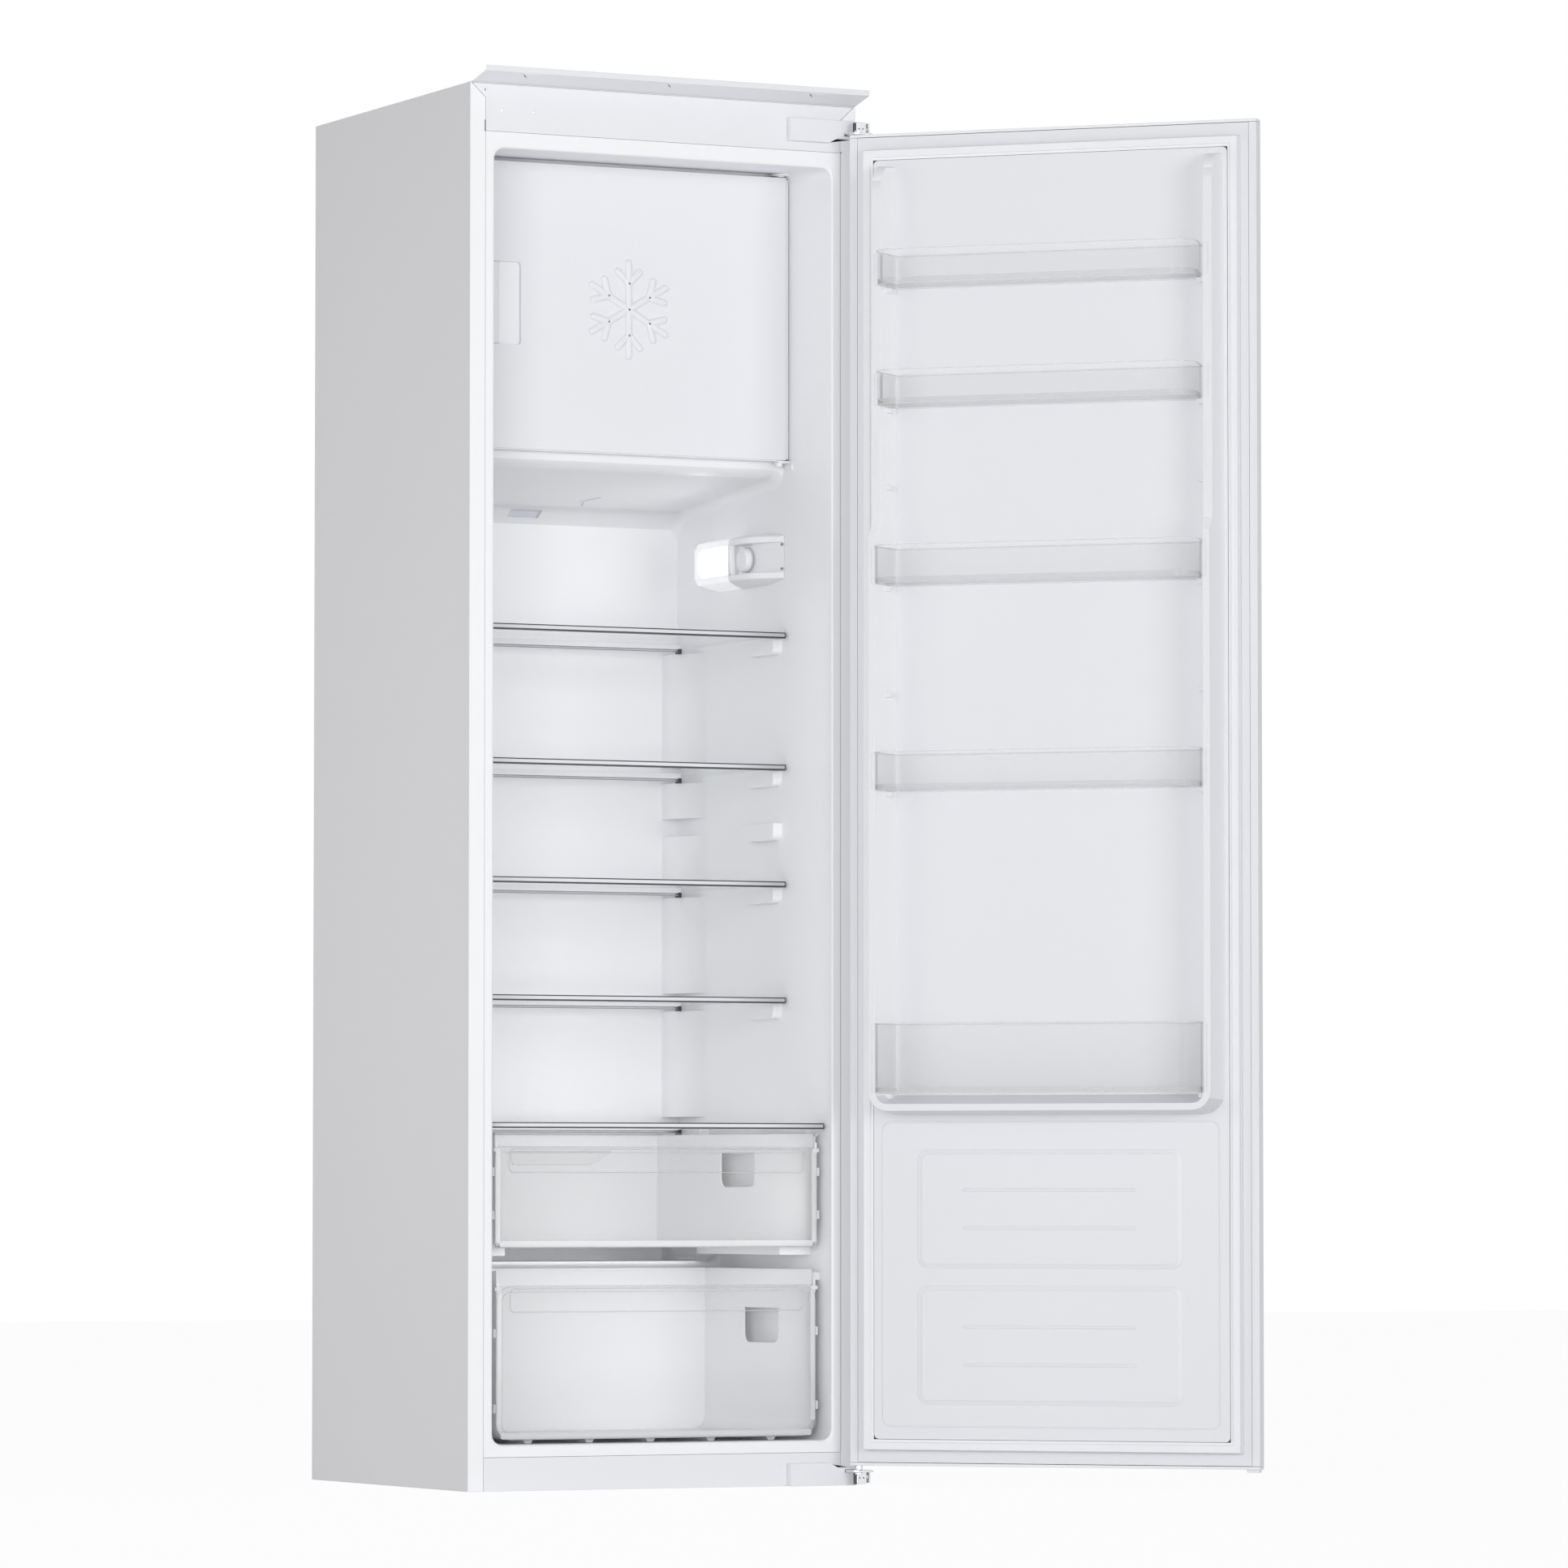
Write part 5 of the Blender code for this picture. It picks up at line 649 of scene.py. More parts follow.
def field(low_a, high_a, low_b, high_b, radius=0.0, steps=5):
    """A rectangle, its corners turned by arcs where it has a radius."""

    def outline(inset):
        a0, a1, b0, b1 = low_a + inset, high_a - inset, low_b + inset, high_b - inset
        if not radius:
            return [(a0, b0), (a1, b0), (a1, b1), (a0, b1)]
        arc = max(radius - inset, TINY)
        corners = ((a1 - arc, b0 + arc, -90), (a1 - arc, b1 - arc, 0), (a0 + arc, b1 - arc, 90))
        points = []
        for a, b, start in (*corners, (a0 + arc, b0 + arc, 180)):
            points += around(a, b, arc, turns(start, 90, steps))
        return points

    return outline


def pill(a0, b0, a1, b1, width, steps=6):
    """A straight bar with round ends."""
    heading = math.atan2(b1 - b0, a1 - a0)

    def outline(inset):
        arc = max(width / 2 - inset, TINY)
        points = []
        for a, b, start in ((a1, b1, -90), (a0, b0, 90)):
            points += around(a, b, arc, [heading + turn for turn in turns(start, 180, steps)])
        return points

    return outline


def disc(a, b, radius, sides=32):
    angles = [math.tau * side / sides for side in range(sides)]
    return lambda inset: around(a, b, max(radius - inset, TINY), angles)


def moved_in(outline, distance):
    """The outline inset by this distance more."""
    return lambda inset: outline(inset + distance)


def bin_outline(low):
    """A door bin's outline, along the door and thick from its inner face."""
    shoulder = BIN_SHOULDERS[low < RIDGE_STEP]

    def outline(inset):
        arc, front, start = BIN_ARC - inset, BIN_FRONT - inset, shoulder + inset
        half = [(BIN_FOOT + inset, BIN_REAR + inset), (start, BIN_SHOULDER)]
        for turn in turns(0, 90, BIN_STEPS):
            half.append((start + arc * (1 - math.cos(turn)), front - arc * (1 - math.sin(turn))))
        return half + [(DOOR_WIDTH - along, thick) for along, thick in reversed(half)]

    return outline


# Shapes


class Shape:
    """A piece's mesh, built from skins over loops of points."""

    def __init__(self):
        self.mesh = bmesh.new()

    def skin(self, loops, ring=False):
        """Faces between loops, with its ends closed, or joined into a ring."""
        rows = [[self.mesh.verts.new(point) for point in loop] for loop in loops]
        pairs = list(zip(rows, rows[1:]))
        if ring:
            pairs.append((rows[-1], rows[0]))
        for low, high in pairs:
            for i in range(len(low)):
                self.mesh.faces.new((low[i - 1], low[i], high[i], high[i - 1]))
        if not ring:
            self.mesh.faces.new(rows[0])
            self.mesh.faces.new(rows[-1])
        return self

    def relief(self, outline, profile, put, ring=False):
        """Skins an outline through (inset, height) steps on the surface that put gives."""
        loops = [[put(a, b, height) for a, b in outline(inset)] for inset, height in profile]
        return self.skin(loops, ring)

    def slab(self, outline, low, high, edge, put):
        """A plate between two heights with its upper edge rounded."""
        steps = [(0, low), (0, high - edge), (EASE * edge, high - EASE * edge), (edge, high)]
        return self.relief(outline, steps, put)

    def dome(self, outline, radius, height, put):
        """A bar or button whose top rounds over from its sides."""
        reach, steps = 0.98 * radius, 5
        profile = [(reach * (1 - math.cos(t)), height * math.sin(t)) for t in turns(0, 90, steps)]
        return self.relief(outline, profile, put)

    def bead(self, outline, width, height, put, base=0.0):
        """A closed rounded rib along an outline."""
        top = base + height
        profile = [(0, base), (0.25 * width, top), (0.75 * width, top), (width, base)]
        return self.relief(outline, profile, put, ring=True)

    def bar(self, profile, low, high, edge=0.0006):
        """A bar along x with this (y, z) profile, its ends eased."""
        small = towards(profile, average(profile), 0.15, 0.15)
        ends = ((low, small), (low + edge, profile), (high - edge, profile), (high, small))
        return self.skin([[(x, y, z) for y, z in points] for x, points in ends])

    def band(self, outline, levels):
        """A closed band around an outline on the door, through (height, inset) steps."""
        loops = [[on_door(a, height, b) for a, b in outline(inset)] for height, inset in levels]
        return self.skin(loops, ring=True)

    def done(self, name, near, look, slot=None, degrees=SMOOTH_DEGREES):
        """The piece, on the body of the CAD node near it."""
        bmesh.ops.recalc_face_normals(self.mesh, faces=self.mesh.faces)
        mesh = bpy.data.meshes.new(name)
        self.mesh.to_mesh(mesh)
        self.mesh.free()
        return fitted(bpy.data.objects.new(name, mesh), near, look, degrees)


def fitted(made, near, look, degrees=SMOOTH_DEGREES):
    """Links a piece, with its look and shading, and puts it on the body of the node near it."""
    bpy.context.scene.collection.objects.link(made)
    made.data.materials.clear()
    made.data.materials.append(LOOKS[look])
    made.data.shade_smooth()
    made.data.set_sharp_from_angle(angle=math.radians(degrees))
    modifier = made.modifiers.new("even_shading", "WEIGHTED_NORMAL")
    modifier.keep_sharp = True
    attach(made, NODES[near]["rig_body"])
    return made


def refined(node):
    """Stands for a CAD node with the same shape, its edges rounded and its curves smooth."""
    mesh = NODES[node].data.copy()
    shape = bmesh.new()
    shape.from_mesh(mesh)
    bmesh.ops.remove_doubles(shape, verts=shape.verts, dist=WELD)
    flat, crease = math.radians(FLAT_DEGREES), math.radians(CREASE_DEGREES)
    bmesh.ops.dissolve_limit(shape, angle_limit=flat, verts=shape.verts, edges=shape.edges)
    sharp = [e for e in shape.edges if e.is_manifold and e.calc_face_angle() > crease]
    bmesh.ops.bevel(
        shape, geom=sharp, offset=EDGE, offset_type="OFFSET", segments=EDGE_STEPS, profile=0.5,
        affect="EDGES", clamp_overlap=False, loop_slide=True,
    )
    shape.to_mesh(mesh)
    shape.free()
    look = OWN_LOOKS.get(node, SLOTS[node])
    made = fitted(bpy.data.objects.new(f"{node}_dressed", mesh), node, look)
    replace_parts(made, node)
    return made


# Faces of a CAD node that look different from the rest


def relook(piece, chosen, *looks):
    """Adds looks to a piece. chosen gives the number of a face's look, from nought for its own."""
    for look in looks:
        piece.data.materials.append(LOOKS[look])
    for face in piece.data.polygons:
        face.material_index = int(chosen(face))


def front_strip(face):
    """The shell's folded front strips are white, unlike its sides: the left one darker as painted
    shade, the right one lighter as painted light against the open door's shadow.
    """
    if face.center.y >= behind(STRIP_DEPTH) or abs(face.center.x) >= STRIP_HALF:
        return 0
    return 1 if face.center.x < 0 else 2


def bay_face(face):
    """The compressor's bay is lined with sheet where the foam would show."""
    return face.center.y > BAY_START and face.center.z < BAY_TOP


def front_wall(face):
    """A drawer's front wall is clear, so that its frosted inside shows through."""
    return face.center.y < behind(DRAWER_WALL_REAR)


def painted_ridge_highlight(face):
    """The flanks of the door liner's raised edges take the lighter white, a painted highlight over
    its flat faces.
    """
    start = Vector(on_door(0, 0, 0))
    inner = Vector(on_door(0, 0, 1)) - start
    thick = (Vector((face.center.x, face.center.y, 0)) - start).dot(inner)
    raised = thick > RIDGE_BASE and face.center.z > RIDGE_FOOT
    return raised and abs(face.normal.dot(inner)) < RIDGE_FLAT


# Cabinet


def fascia_details():
    plugs, slots, seams = Shape(), Shape(), Shape()
    for x, height in PLUGS:
        plug = disc(x, height, PLUG_RADIUS, 24)
        plugs.dome(plug, PLUG_ROUND, PLUG_RISE, on_front(PLUG_DEPTH))
    plugs.done("fascia_plugs", "top_fascia", "plug_white")
    for x, low, high in CLIP_SLOTS:
        slots.slab(field(x - SLOT_HALF, x + SLOT_HALF, low, high), *THIN, on_front(0))
    slots.done("fascia_clip_slots", "top_fascia", "seam_dark")
    for x, low, high in SEAMS:
        seams.slab(field(x - SEAM_HALF, x + SEAM_HALF, low, high), *THIN, on_front(0))
    seams.done("front_seams", "inner_liner", "edge_grey")


def trim_details():
    """Half-moon clips pressed out of the slope, each with a slit at its left."""
    flaps, slits = Shape(), Shape()
    for x in CLIPS:
        arc = [
            (x + CLIP_HALF * math.cos(turn), CLIP_MIDDLE + CLIP_RISE * math.sin(turn))
            for turn in turns(180, 180, CLIP_STEPS)
        ]
        loops = []
        for share, height in CLIP_PROFILE:
            moved = towards(arc, (x, CLIP_FOCUS), share, share)
            loops.append([on_slope(a, b, height) for a, b in moved])
        flaps.skin(loops)
        (left, low), (right, high) = CLIP_SLIT
        slit = pill(x + left, low, x + right, high, 0.0011)
        slits.slab(slit, 0.0002, 0.0007, 0.0002, on_slope)
    flaps.done("trim_clips", "top_trim", "white_plastic")
    slits.done("trim_slits", "top_trim", "seam_dark")


def flake_place(turn, along, across):
    """A place on the snowflake's arm at this turn."""
    return (
        FLAKE[0] + along * math.cos(turn) - across * math.sin(turn),
        FLAKE[1] + along * math.sin(turn) + across * math.cos(turn),
    )


def icebox_door_details():
    """The snowflake, the grip's bar and the floor behind it, and the seal."""
    put = on_front(ICEBOX_FACE)
    flake, bar, hollow, seal = Shape(), Shape(), Shape(), Shape()
    for arm in range(FLAKE_ARMS):
        turn = math.radians(90 + 360 / FLAKE_ARMS * arm)
        for start, end in FLAKE_BARS:
            ends = (*flake_place(turn, *start), *flake_place(turn, *end))
            flake.dome(pill(*ends, FLAKE_BAR, 8), FLAKE_ROUND, FLAKE_RISE, put)
    flake.done("icebox_snowflake", "icebox_door_outer", "white_plastic")
    bar.slab(field(*ICEBOX_BAR, 0.002), -0.0040, -0.0010, 0.0009, put)
    bar.done("icebox_grip_bar", "icebox_door_outer", "white_plastic")
    # The grip's floor takes the lighter white, painted light that lifts the recess's shade
    hollow.slab(field(*ICEBOX_HOLLOW, 0.004), -0.0039, -0.0036, 0.0002, put)
    hollow.done("icebox_grip_floor", "icebox_door_outer", "liner_white")
    for place, low, high in ICEBOX_SEALS:
        seal.slab(field(*place, 0.0010), low, high, 0.0010, put)
    seal.done("icebox_seal", "icebox_door_outer", "liner_white", "gasket_rubber")


def icebox_hinges():
    """The plate and washer over the icebox door's hinge edge, and the pivot under it."""
    x, y = ICEBOX_PIN[0], behind(ICEBOX_PIN[1])
    edge = [(a, y + b) for a, b in ICEBOX_LEAF]
    middle = (LEAF_MIDDLE[0], y + LEAF_MIDDLE[1])

    def leaf(inset):
        return towards(edge, middle, inset / LEAF_REACH, inset / LEAF_REACH)

    plate, pivot, stop = Shape(), Shape(), Shape()
    plate.relief(leaf, LEAF_PROFILE, on_level)
    rounds = ((plate, ICEBOX_WASHER), (pivot, PIVOT_COLLAR), (pivot, PIVOT_STEM))
    for shape, (radius, profile) in rounds:
        shape.relief(disc(x, y, radius), profile, on_level)
    plate.done("icebox_hinge_plate", "icebox_pin_upper", "liner_white")
    pivot.done("icebox_pivot", "icebox_pin_lower", "liner_white")
    stop.slab(field(*ICEBOX_STOP, 0.0012), 0.0, 0.0022, 0.0010, on_wall)
    stop.done("icebox_stop", "inner_liner", "liner_white")


def ceiling_details():
    """The pocket in the chamfer behind the larder's ceiling, and the step before it, with their
    shade painted in grey.
    """
    pocket, edges = Shape(), Shape()
    left, right, near, far = POCKET
    pocket.slab(field(left, right, near, far, 0.0015), -0.0002, 0.0003, 0.0002, on_chamfer)
    pocket.done("ceiling_pocket", "inner_liner", "pocket_grey")
    edges.slab(field(left, right, near, near + 0.0014), 0.0, 0.0005, 0.0002, on_chamfer)
    edges.slab(field(right - 0.004, right, near, far, 0.001), 0.0, 0.0005, 0.0002, on_chamfer)
    for mark in STEP_MARKS:
        edges.slab(pill(*mark, 0.0012), 0.0, 0.0006, 0.0002, on_ceiling)
    edges.done("ceiling_edges", "inner_liner", "edge_grey")


# Lamp


def lamp_end(proud, rise):
    """Depth at which the housing meets the lens, slanting back on its upper and lower sides."""
    if abs(rise) < LAMP_RAIL_IN - TINY:
        return LAMP_SPLIT
    if proud < LAMP_PROUD - LENS_LIP:
        return LENS_START + (LAMP_PROUD - proud) / LAMP_PROUD * LENS_SLANT
    return LAMP_SPLIT - LENS_LEAN * (abs(rise) - LAMP_RAIL_IN) / (LAMP_HALF - LAMP_RAIL_IN)


def lamp_loop(points, depth=None, gap=0.0):
    """Places for (proud, rise) points at this depth, or where the housing meets the lens."""
    places = []
    for proud, rise in points:
        at = lamp_end(proud, rise) + gap if depth is None else depth
        places.append(on_wall(at, LAMP_MIDDLE + rise, proud))
    return places


def mirrored(points):
    return points + [(proud, -rise) for proud, rise in reversed(points)]


def flank(top, at_wall, at_face, edge):
    """The lower side of a section, sloping from the wall in to the rounded edge of its face."""
    points = [(0.0004, -at_wall), (0.5 * (top - edge), -at_wall + 0.35 * (at_wall - at_face))]
    for turn in turns(0, 90, 4):
        points.append((top - edge + edge * math.sin(turn), -at_face + edge * (1 - math.cos(turn))))
    return points


def housing_section(top, floor, at_wall, edge):
    """The housing's section: two rails with a floor between them."""
    rail = -LAMP_RAIL_IN
    inner = [(top, rail - 0.0005), (top - 0.0005, rail)]
    inner += [(floor + 0.0004, rail), (floor, rail + 0.0004)]
    return mirrored(flank(top, at_wall, LAMP_FACE, edge) + inner)


def lens_section(top, at_wall, at_face, edge):
    """The lens's section, its face raised between two small slopes."""
    share = at_face / LAMP_FACE
    slope = [(top - 0.0012, -0.0208 * share), (top, -0.0196 * share)]
    return mirrored(flank(top - 0.0026, at_wall, at_face, edge) + slope)


def lamp_housing():
    """Rises from the wall by a ramp that eases into a nearly flat top."""
    shape = Shape()
    loops = []
    for depth in HOUSING_DEPTHS:
        past, over = depth - LAMP_FRONT, depth - LAMP_KNEE
        ramp = HOUSING_RAMP[0] + past * HOUSING_RAMP[1]
        flat = HOUSING_FLAT[0] + over * HOUSING_FLAT[1]
        top = min(ramp, flat) - HOUSING_EASE * math.exp(-(over / HOUSING_EASE_REACH) ** 2)
        hollow = min(HOUSING_FLOOR[0] + past * HOUSING_FLOOR[1], top - 0.0006)
        flare = min(1.0, past / HOUSING_FLARE) ** HOUSING_FLARE_POWER
        at_wall = LAMP_FACE + (LAMP_HALF - LAMP_FACE) * flare
        section = housing_section(top, hollow, at_wall, min(LAMP_EDGE, top / 3))
        loops.append(lamp_loop(section, depth))
    section = housing_section(LAMP_PROUD, HOUSING_FLOOR_END, LAMP_HALF, LAMP_EDGE)
    loops.append(lamp_loop(section, gap=-0.0003))
    shape.skin(loops)
    made = shape.done("lamp_housing_dressed", "lamp_housing", "liner_white", degrees=30)
    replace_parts(made, "lamp_housing")


def lamp_lens():
    """Runs back from the housing, then rounds over into the wall."""
    shape = Shape()
    section = lens_section(LAMP_PROUD, LAMP_HALF, LAMP_FACE, LAMP_EDGE)
    loops = [lamp_loop(section), lamp_loop(section, LAMP_LENS_FLAT)]
    for turn in turns(0, 90, 10):
        depth = LAMP_REAR - LAMP_CORNER * (1 - math.sin(turn))
        top = LAMP_PROUD - LAMP_CORNER * (1 - math.cos(turn))
        drawn = LENS_DRAW * (1 - math.cos(turn)) + LENS_PINCH * math.sin(turn)
        edge = LAMP_EDGE + LENS_SOFTEN * math.sin(turn)
        section = lens_section(top, LAMP_HALF - 0.5 * drawn, LAMP_FACE - drawn, edge)
        loops.append(lamp_loop(section, depth))
    shape.skin(loops)
    made = shape.done("lamp_lens_dressed", "lamp_lens", "lamp_lens", degrees=25)
    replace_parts(made, "lamp_lens")


def lamp_core():
    """The bright strip over the lens's face."""
    loops = []
    for depth in CORE_DEPTHS:
        past = max(0.0, depth - (LAMP_REAR - LAMP_CORNER))
        face = LAMP_PROUD - LAMP_CORNER + math.sqrt(LAMP_CORNER ** 2 - past ** 2)
        half = CORE_HALF - CORE_DRAWN * max(0.0, (depth - CORE_BEND) / CORE_END) ** 2.5
        side = [(face - 0.001, -half), (face + 0.0001, -half), (face + 0.0004, -half + 0.0006)]
        loops.append(lamp_loop(mirrored(side), depth))
    Shape().skin(loops).done("lamp_core", "lamp_lens", "lamp_core", degrees=35)


def lamp_details():
    """The slots in the housing, the thermostat's dial and the ring around it; the grey of the
    slots and of the ring is painted shade.
    """
    slots, dial, ring = Shape(), Shape(), Shape()
    for height in LAMP_SLOTS:
        slot = field(*LAMP_SLOT_SPAN, height - LAMP_SLOT_HALF, height + LAMP_SLOT_HALF)
        slots.slab(slot, 0.0, 0.0036, 0.0003, on_wall)
    slots.done("lamp_slots", "lamp_housing", "seam_grey")
    dial.relief(disc(DIAL_DEPTH, LAMP_MIDDLE, DIAL_RADIUS, DIAL_SIDES), DIAL_PROFILE, on_wall)
    for depth, height in DIMPLES:
        dial.relief(disc(depth, height, DIMPLE_RADIUS, 20), DIMPLE_PROFILE, on_wall)
    knob = "thermostat_knob"
    made = dial.done("thermostat_dial", knob, "liner_white", slot="clear_plastic", degrees=30)
    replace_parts(made, knob)
    ring.relief(disc(DIAL_DEPTH, LAMP_MIDDLE, RING_RADIUS, DIAL_SIDES), RING_PROFILE, on_wall)
    ring.done("thermostat_ring", "lamp_housing", "edge_grey")


# Shelves


def rounded(y, low, high, bulge, back):
    """A bar's profile with its front rounded out by this bulge."""
    middle, half = (low + high) / 2, (high - low) / 2
    points = [(y - bulge * math.cos(t), middle + half * math.sin(t)) for t in turns(-90, 180, 8)]
    return points + [(back, high), (back, low)]


def shelf_front(name, top, depth, half):
    """The front trim: a bright band between dark lines, closed at its ends, the band darkening
    towards its right end as painted shade.
    """
    y, trim = behind(depth), f"{name}_front_trim"
    face = y + 0.0002
    band, lines = Shape(), Shape()
    low, high = SHELF_BAND
    band.bar(rounded(y + 0.0007, top - low, top - high, 0.0006, y + 0.0014), -half, half)
    band.done(f"{name}_front_band", trim, "trim_band")
    for low, high in SHELF_LINES:
        lines.bar(rounded(face, top - low, top - high, 0.0002, y + 0.0130), -half, half)
    for low, high in both_sides(half, -0.0014, 0):
        lines.bar(rounded(face, top - 0.0072, top - 0.0002, 0.0002, y + 0.0120), low, high, 0.0003)
    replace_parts(lines.done(f"{name}_front_lines", trim, "trim_dark"), trim)


def shelf_rear(name, top):
    """The rear trim: a pale bar with two lines, and a dark clip at its right end."""
    rear, foot, trim = behind(SHELF_REAR), top - REAR_DROP, f"{name}_rear_trim"
    front = rear - REAR_BODY
    body, lines, clip = Shape(), Shape(), Shape()
    profile = [(front, foot + REAR_SLOPE), (rear, foot), (rear, top), (front, top)]
    body.bar(profile, -REAR_HALF, REAR_HALF)
    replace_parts(body.done(f"{name}_rear_body", trim, "trim_pale"), trim)
    for rise in REAR_LINES:
        low = foot + rise
        line = rounded(rear - 0.0099, low, low + 0.0011, 0.0005, rear - 0.0080)
        lines.bar(line, -REAR_HALF, REAR_HALF)
    lines.done(f"{name}_rear_lines", trim, "trim_line")
    near, far, low, high = rear - 0.0108, rear - 0.0020, foot - 0.0026, foot + 0.0040
    profile = [(near, low), (far, low), (far, high), (near, high)]
    clip.bar(profile, REAR_HALF - 0.0052, REAR_HALF + 0.0004)
    clip.done(f"{name}_rear_clip", trim, "trim_dark")


# Drawers


def drawer_details(name, half, low, high, corner, strip_top, nubs, rear, rim):
    """The lines, base and runner tabs of a drawer's front, and the rounds of its rear corners."""
    put = on_front(DRAWER_FACE)
    tub, panel = f"{name}_drawer_tub", f"{name}_drawer_front"
    lines, base, tabs, corners = Shape(), Shape(), Shape(), Shape()
    whole = field(-half, half, low, high, corner)
    reach = half - GRIP_MARGIN
    strip = field(-reach, reach, strip_top - GRIP_HEIGHT, strip_top, 0.006)
    lines.bead(whole, 0.0010, 0.0004, put)
    lines.bead(moved_in(whole, 0.0072), 0.0009, 0.0003, put)
    lines.bead(moved_in(strip, -0.0006), 0.0012, 0.0005, put)
    lines.done(f"{name}_drawer_lines", panel, "clear_edge")
    foot = field(0.006 - half, half - 0.006, low + 0.0010, low + 0.0086, 0.003)
    base.slab(foot, 0, 0.0005, 0.0002, put)
    for left, right in both_sides(half, -0.0070, -0.0012):
        base.slab(field(left, right, low + corner, high - 0.003, 0.001), 0, 0.0003, 0.0001, put)
    base.done(f"{name}_drawer_base", panel, "clear_band")
    for side, (left, right) in zip((-1, 1), both_sides(half, 0.0004, 0.0036)):
        for height in nubs:
            nub = field(left, right, height - 0.0055, height + 0.0055, 0.001)
            tabs.slab(nub, -0.004, 0, 0.0006, put)
        a = side * (half - 0.002)
        wide = field(a - 0.0045, a + 0.0045, high - 0.0065, high - 0.0015, 0.0012)
        tabs.slab(wide, 0, 0.0016, 0.0006, put)
        tall = field(a - 0.0016, a + 0.0016, high - 0.0100, high + 0.0060, 0.001)
        tabs.slab(tall, 0, 0.0010, 0.0005, put)
    tabs.done(f"{name}_drawer_nubs", tub, "clear_band")
    inside = half - DRAWER_TAPER * (rear - DRAWER_FACE) - 0.002
    for left, right in both_sides(inside, -0.0030, 0):
        bend = field(left, right, low + 0.006, rim - 0.001)
        corners.slab(bend, 0, 0.0016, 0.0008, on_front(rear))
    corners.done(f"{name}_drawer_corners", tub, "plug_white")


def grip_details():
    """The deeper finger grip at the upper drawer's left, ended by a slanting curve."""
    put = on_front(DRAWER_FACE)
    left, right, low, high = GRIP
    start = right - GRIP_CURVE
    edge = [(left, high), (left, low + GRIP_CORNER), (left + GRIP_CORNER, low), (start, low)]
    for step in range(1, GRIP_STEPS + 1):
        share = step / GRIP_STEPS
        rise = share ** 2 * (1.6 - 0.6 * share)
        edge.append((start + GRIP_CURVE * share, low + (high - low) * rise))
    middle = average(edge)

    def outline(inset):
        return towards(edge, middle, inset / 0.06, inset / 0.010)

    line = Shape().bead(outline, 0.0009, 0.0004, put, -0.0004)
    line.done("upper_drawer_grip_line", "upper_drawer_front", "clear_edge")
    hollow = Shape().relief(outline, [(0, -0.0006), (0.0002, -0.0002)], put)
    hollow.done("upper_drawer_grip", "upper_drawer_front", "clear_haze")


# Door


def gasket():
    """The magnetic gasket with its mitred corners, bellows and inner flap."""
    ring = field(*GASKET_RING)
    made = Shape().relief(ring, GASKET_PROFILE, on_door, ring=True)
    made = made.done("door_gasket_dressed", "door_gasket", "gasket_rubber", degrees=25)
    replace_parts(made, "door_gasket")
    shadow = Shape().bead(moved_in(ring, 0.0138), 0.0010, 0.0002, on_door, 0.0106)
    shadow.done("door_gasket_shadow", "door_gasket", "seam_dark")


def hinge_plates():
    """The upright plates of the hinges, each with a dark edge and two screws."""
    put = on_front(HINGE_FRONT)
    for side, (low, high) in HINGE_PLATES.items():
        near = f"hinge_bracket_{side}"
        plate, edge, screws = Shape(), Shape(), Shape()
        plate.slab(field(*HINGE_PLATE, low, high, 0.002), 0, 0.0014, 0.0005, put)
        plate.done(f"hinge_plate_{side}", near, "hinge_metal")
        edge.slab(field(*HINGE_EDGE, low, high - 0.001, 0.0008), -0.004, 0.0009, 0.0004, put)
        edge.done(f"hinge_plate_edge_{side}", near, "trim_dark")
        for x in HINGE_SCREWS:
            head = disc(x, 0.5 * (low + high), 0.0009, 16)
            screws.relief(head, [(0, 0.0010), (0, 0.0016), (0.0003, 0.0018)], put)
        screws.done(f"hinge_screws_{side}", near, "seam_dark")


def door_reliefs():
    """The pressed panels of the liner's lower part, and the marks on its raised edges."""
    base, raised = over_door(LINER_BASE), over_door(LINER_RAISED)
    reliefs, marks = Shape(), Shape()
    reliefs.bead(field(*LINER_BEAD, 0.012), 0.0026, 0.0011, base)
    for panel in LINER_PANELS:
        reliefs.relief(field(*panel, 0.014, 8), PANEL_PROFILE, base)
    for height in LINER_RIBS:
        rib = pill(RIB_START, height, RIB_END, height, RIB_WIDTH)
        reliefs.dome(rib, 0.0020, 0.0014, raised)
    reliefs.done("door_liner_reliefs", "door_liner", "door_white", degrees=60)
    for low, high in RIDGE_MARKS:
        for along in MARK_PLACES:
            mark = field(along - 0.001, along + 0.001, low, high, 0.001)
            marks.slab(mark, 0, 0.0007, 0.0003, over_door(RIDGE_MARK_BASE))
    marks.done("door_ridge_marks", "door_liner", "door_white")


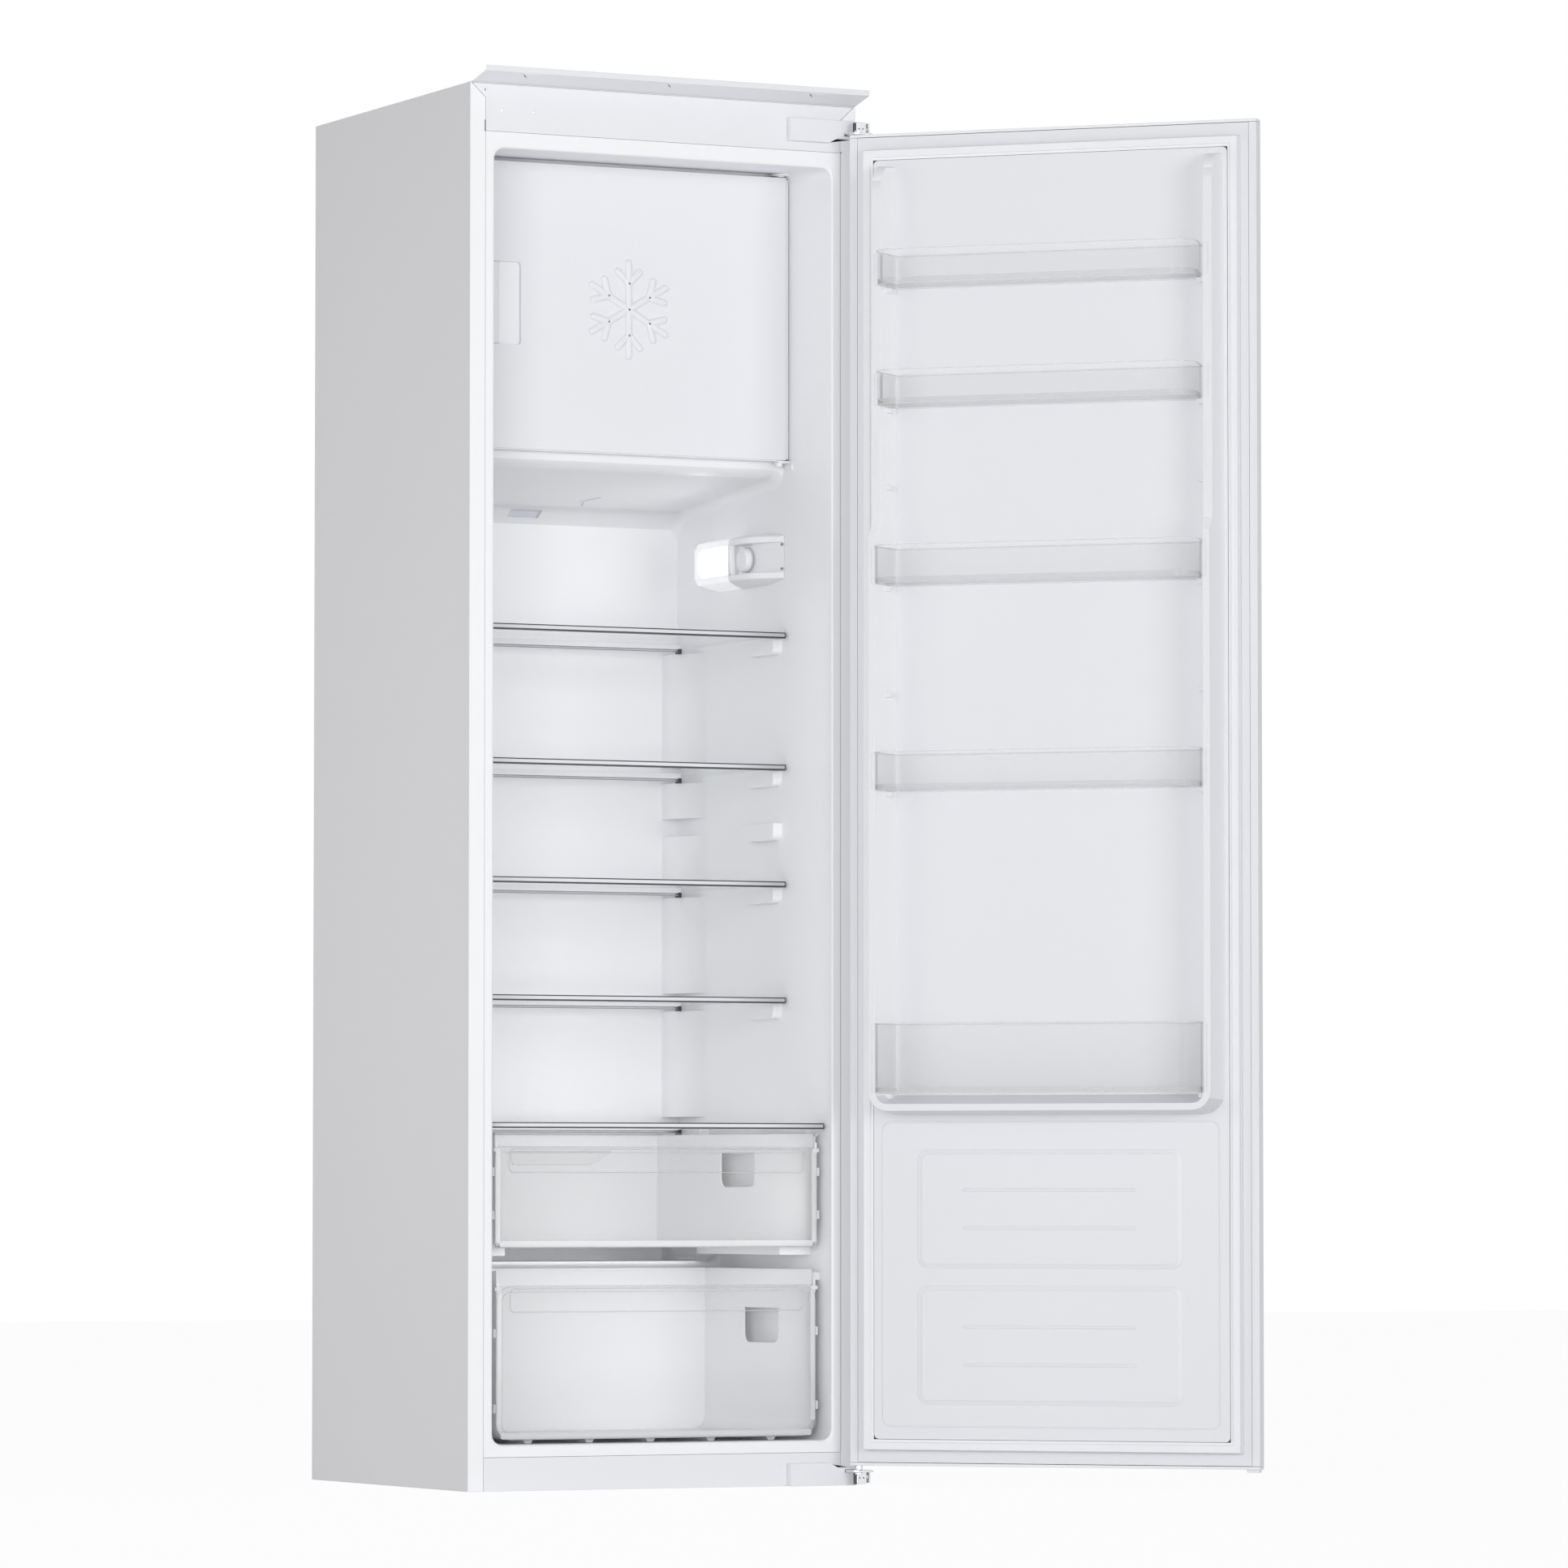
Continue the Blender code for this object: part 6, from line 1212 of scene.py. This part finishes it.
def bin_details(name, low, high):
    """A bin's rim, base and foot line, and the hooks that grip the door liner's ridges."""
    outline, lower = bin_outline(low), low < RIDGE_STEP
    for part, look, start, levels in (
        ("rim", "clear_line", high, RIM_LEVELS),
        ("base", "clear_haze", low, BASE_LEVELS),
        ("foot_line", "clear_line", low, FOOT_LEVELS),
    ):
        band = Shape().band(outline, [(start + rise, inset) for rise, inset in levels])
        band.done(f"{name}_{part}", name, look).visible_shadow = False
    hooks = Shape()
    plate = field(HOOK_START, BIN_SHOULDERS[lower] + HOOK_OVERLAP, low, high, 0.002)
    lip = field(*HOOK_LIP, low + 0.001, high - 0.001, 0.0005)
    for mirror in (False, True):
        put = over_door(RIDGE_TOPS[lower], mirror)
        hooks.slab(plate, 0, 0.0012, 0.0004, put)
        hooks.slab(lip, 0, 0.0022, 0.0006, put)
    hooks.done(f"{name}_hooks", name, "clear_plastic").visible_shadow = False


def dress_solids():
    """Refines each CAD node but those that have a shape of their own here."""
    own = {"thermostat_knob", "lamp_housing", "lamp_lens", "door_gasket"}
    for number in range(1, len(SHELVES) + 1):
        own |= {f"shelf_{number}_front_trim", f"shelf_{number}_rear_trim"}
    for name in NODES:
        if name in own:
            continue
        made = refined(name)
        if name == "outer_shell":
            relook(made, front_strip, "door_white", "liner_white")
        if name == "door_liner":
            relook(made, painted_ridge_highlight, "liner_white")
        if name == "insulation_foam":
            relook(made, bay_face, "cabinet_steel")
        if name.endswith("_drawer_tub"):
            relook(made, front_wall, "drawer_panel")
        if name in BINS or name.endswith("_drawer_front"):
            made.visible_shadow = False


camera()
world()
floor()
for name, facts in LIGHTS.items():
    soft_light(name, *facts)
for name, facts in FILLS.items():
    fill_light(name, *facts)
LOOKS = {name: Finish(name, **facts).material for name, facts in FINISHES.items()}
dress_nodes()
dress_solids()
fascia_details()
trim_details()
icebox_door_details()
icebox_hinges()
ceiling_details()
lamp_housing()
lamp_lens()
lamp_core()
lamp_details()
for number, (top, depth, half) in enumerate(SHELVES, 1):
    shelf_front(f"shelf_{number}", top, depth, half)
    shelf_rear(f"shelf_{number}", top)
for name, facts in DRAWERS.items():
    drawer_details(name, **facts)
grip_details()
gasket()
hinge_plates()
door_reliefs()
for name, (low, height) in BINS.items():
    bin_details(name, low, low + height)

bpy.context.scene.view_settings.view_transform = "Standard"
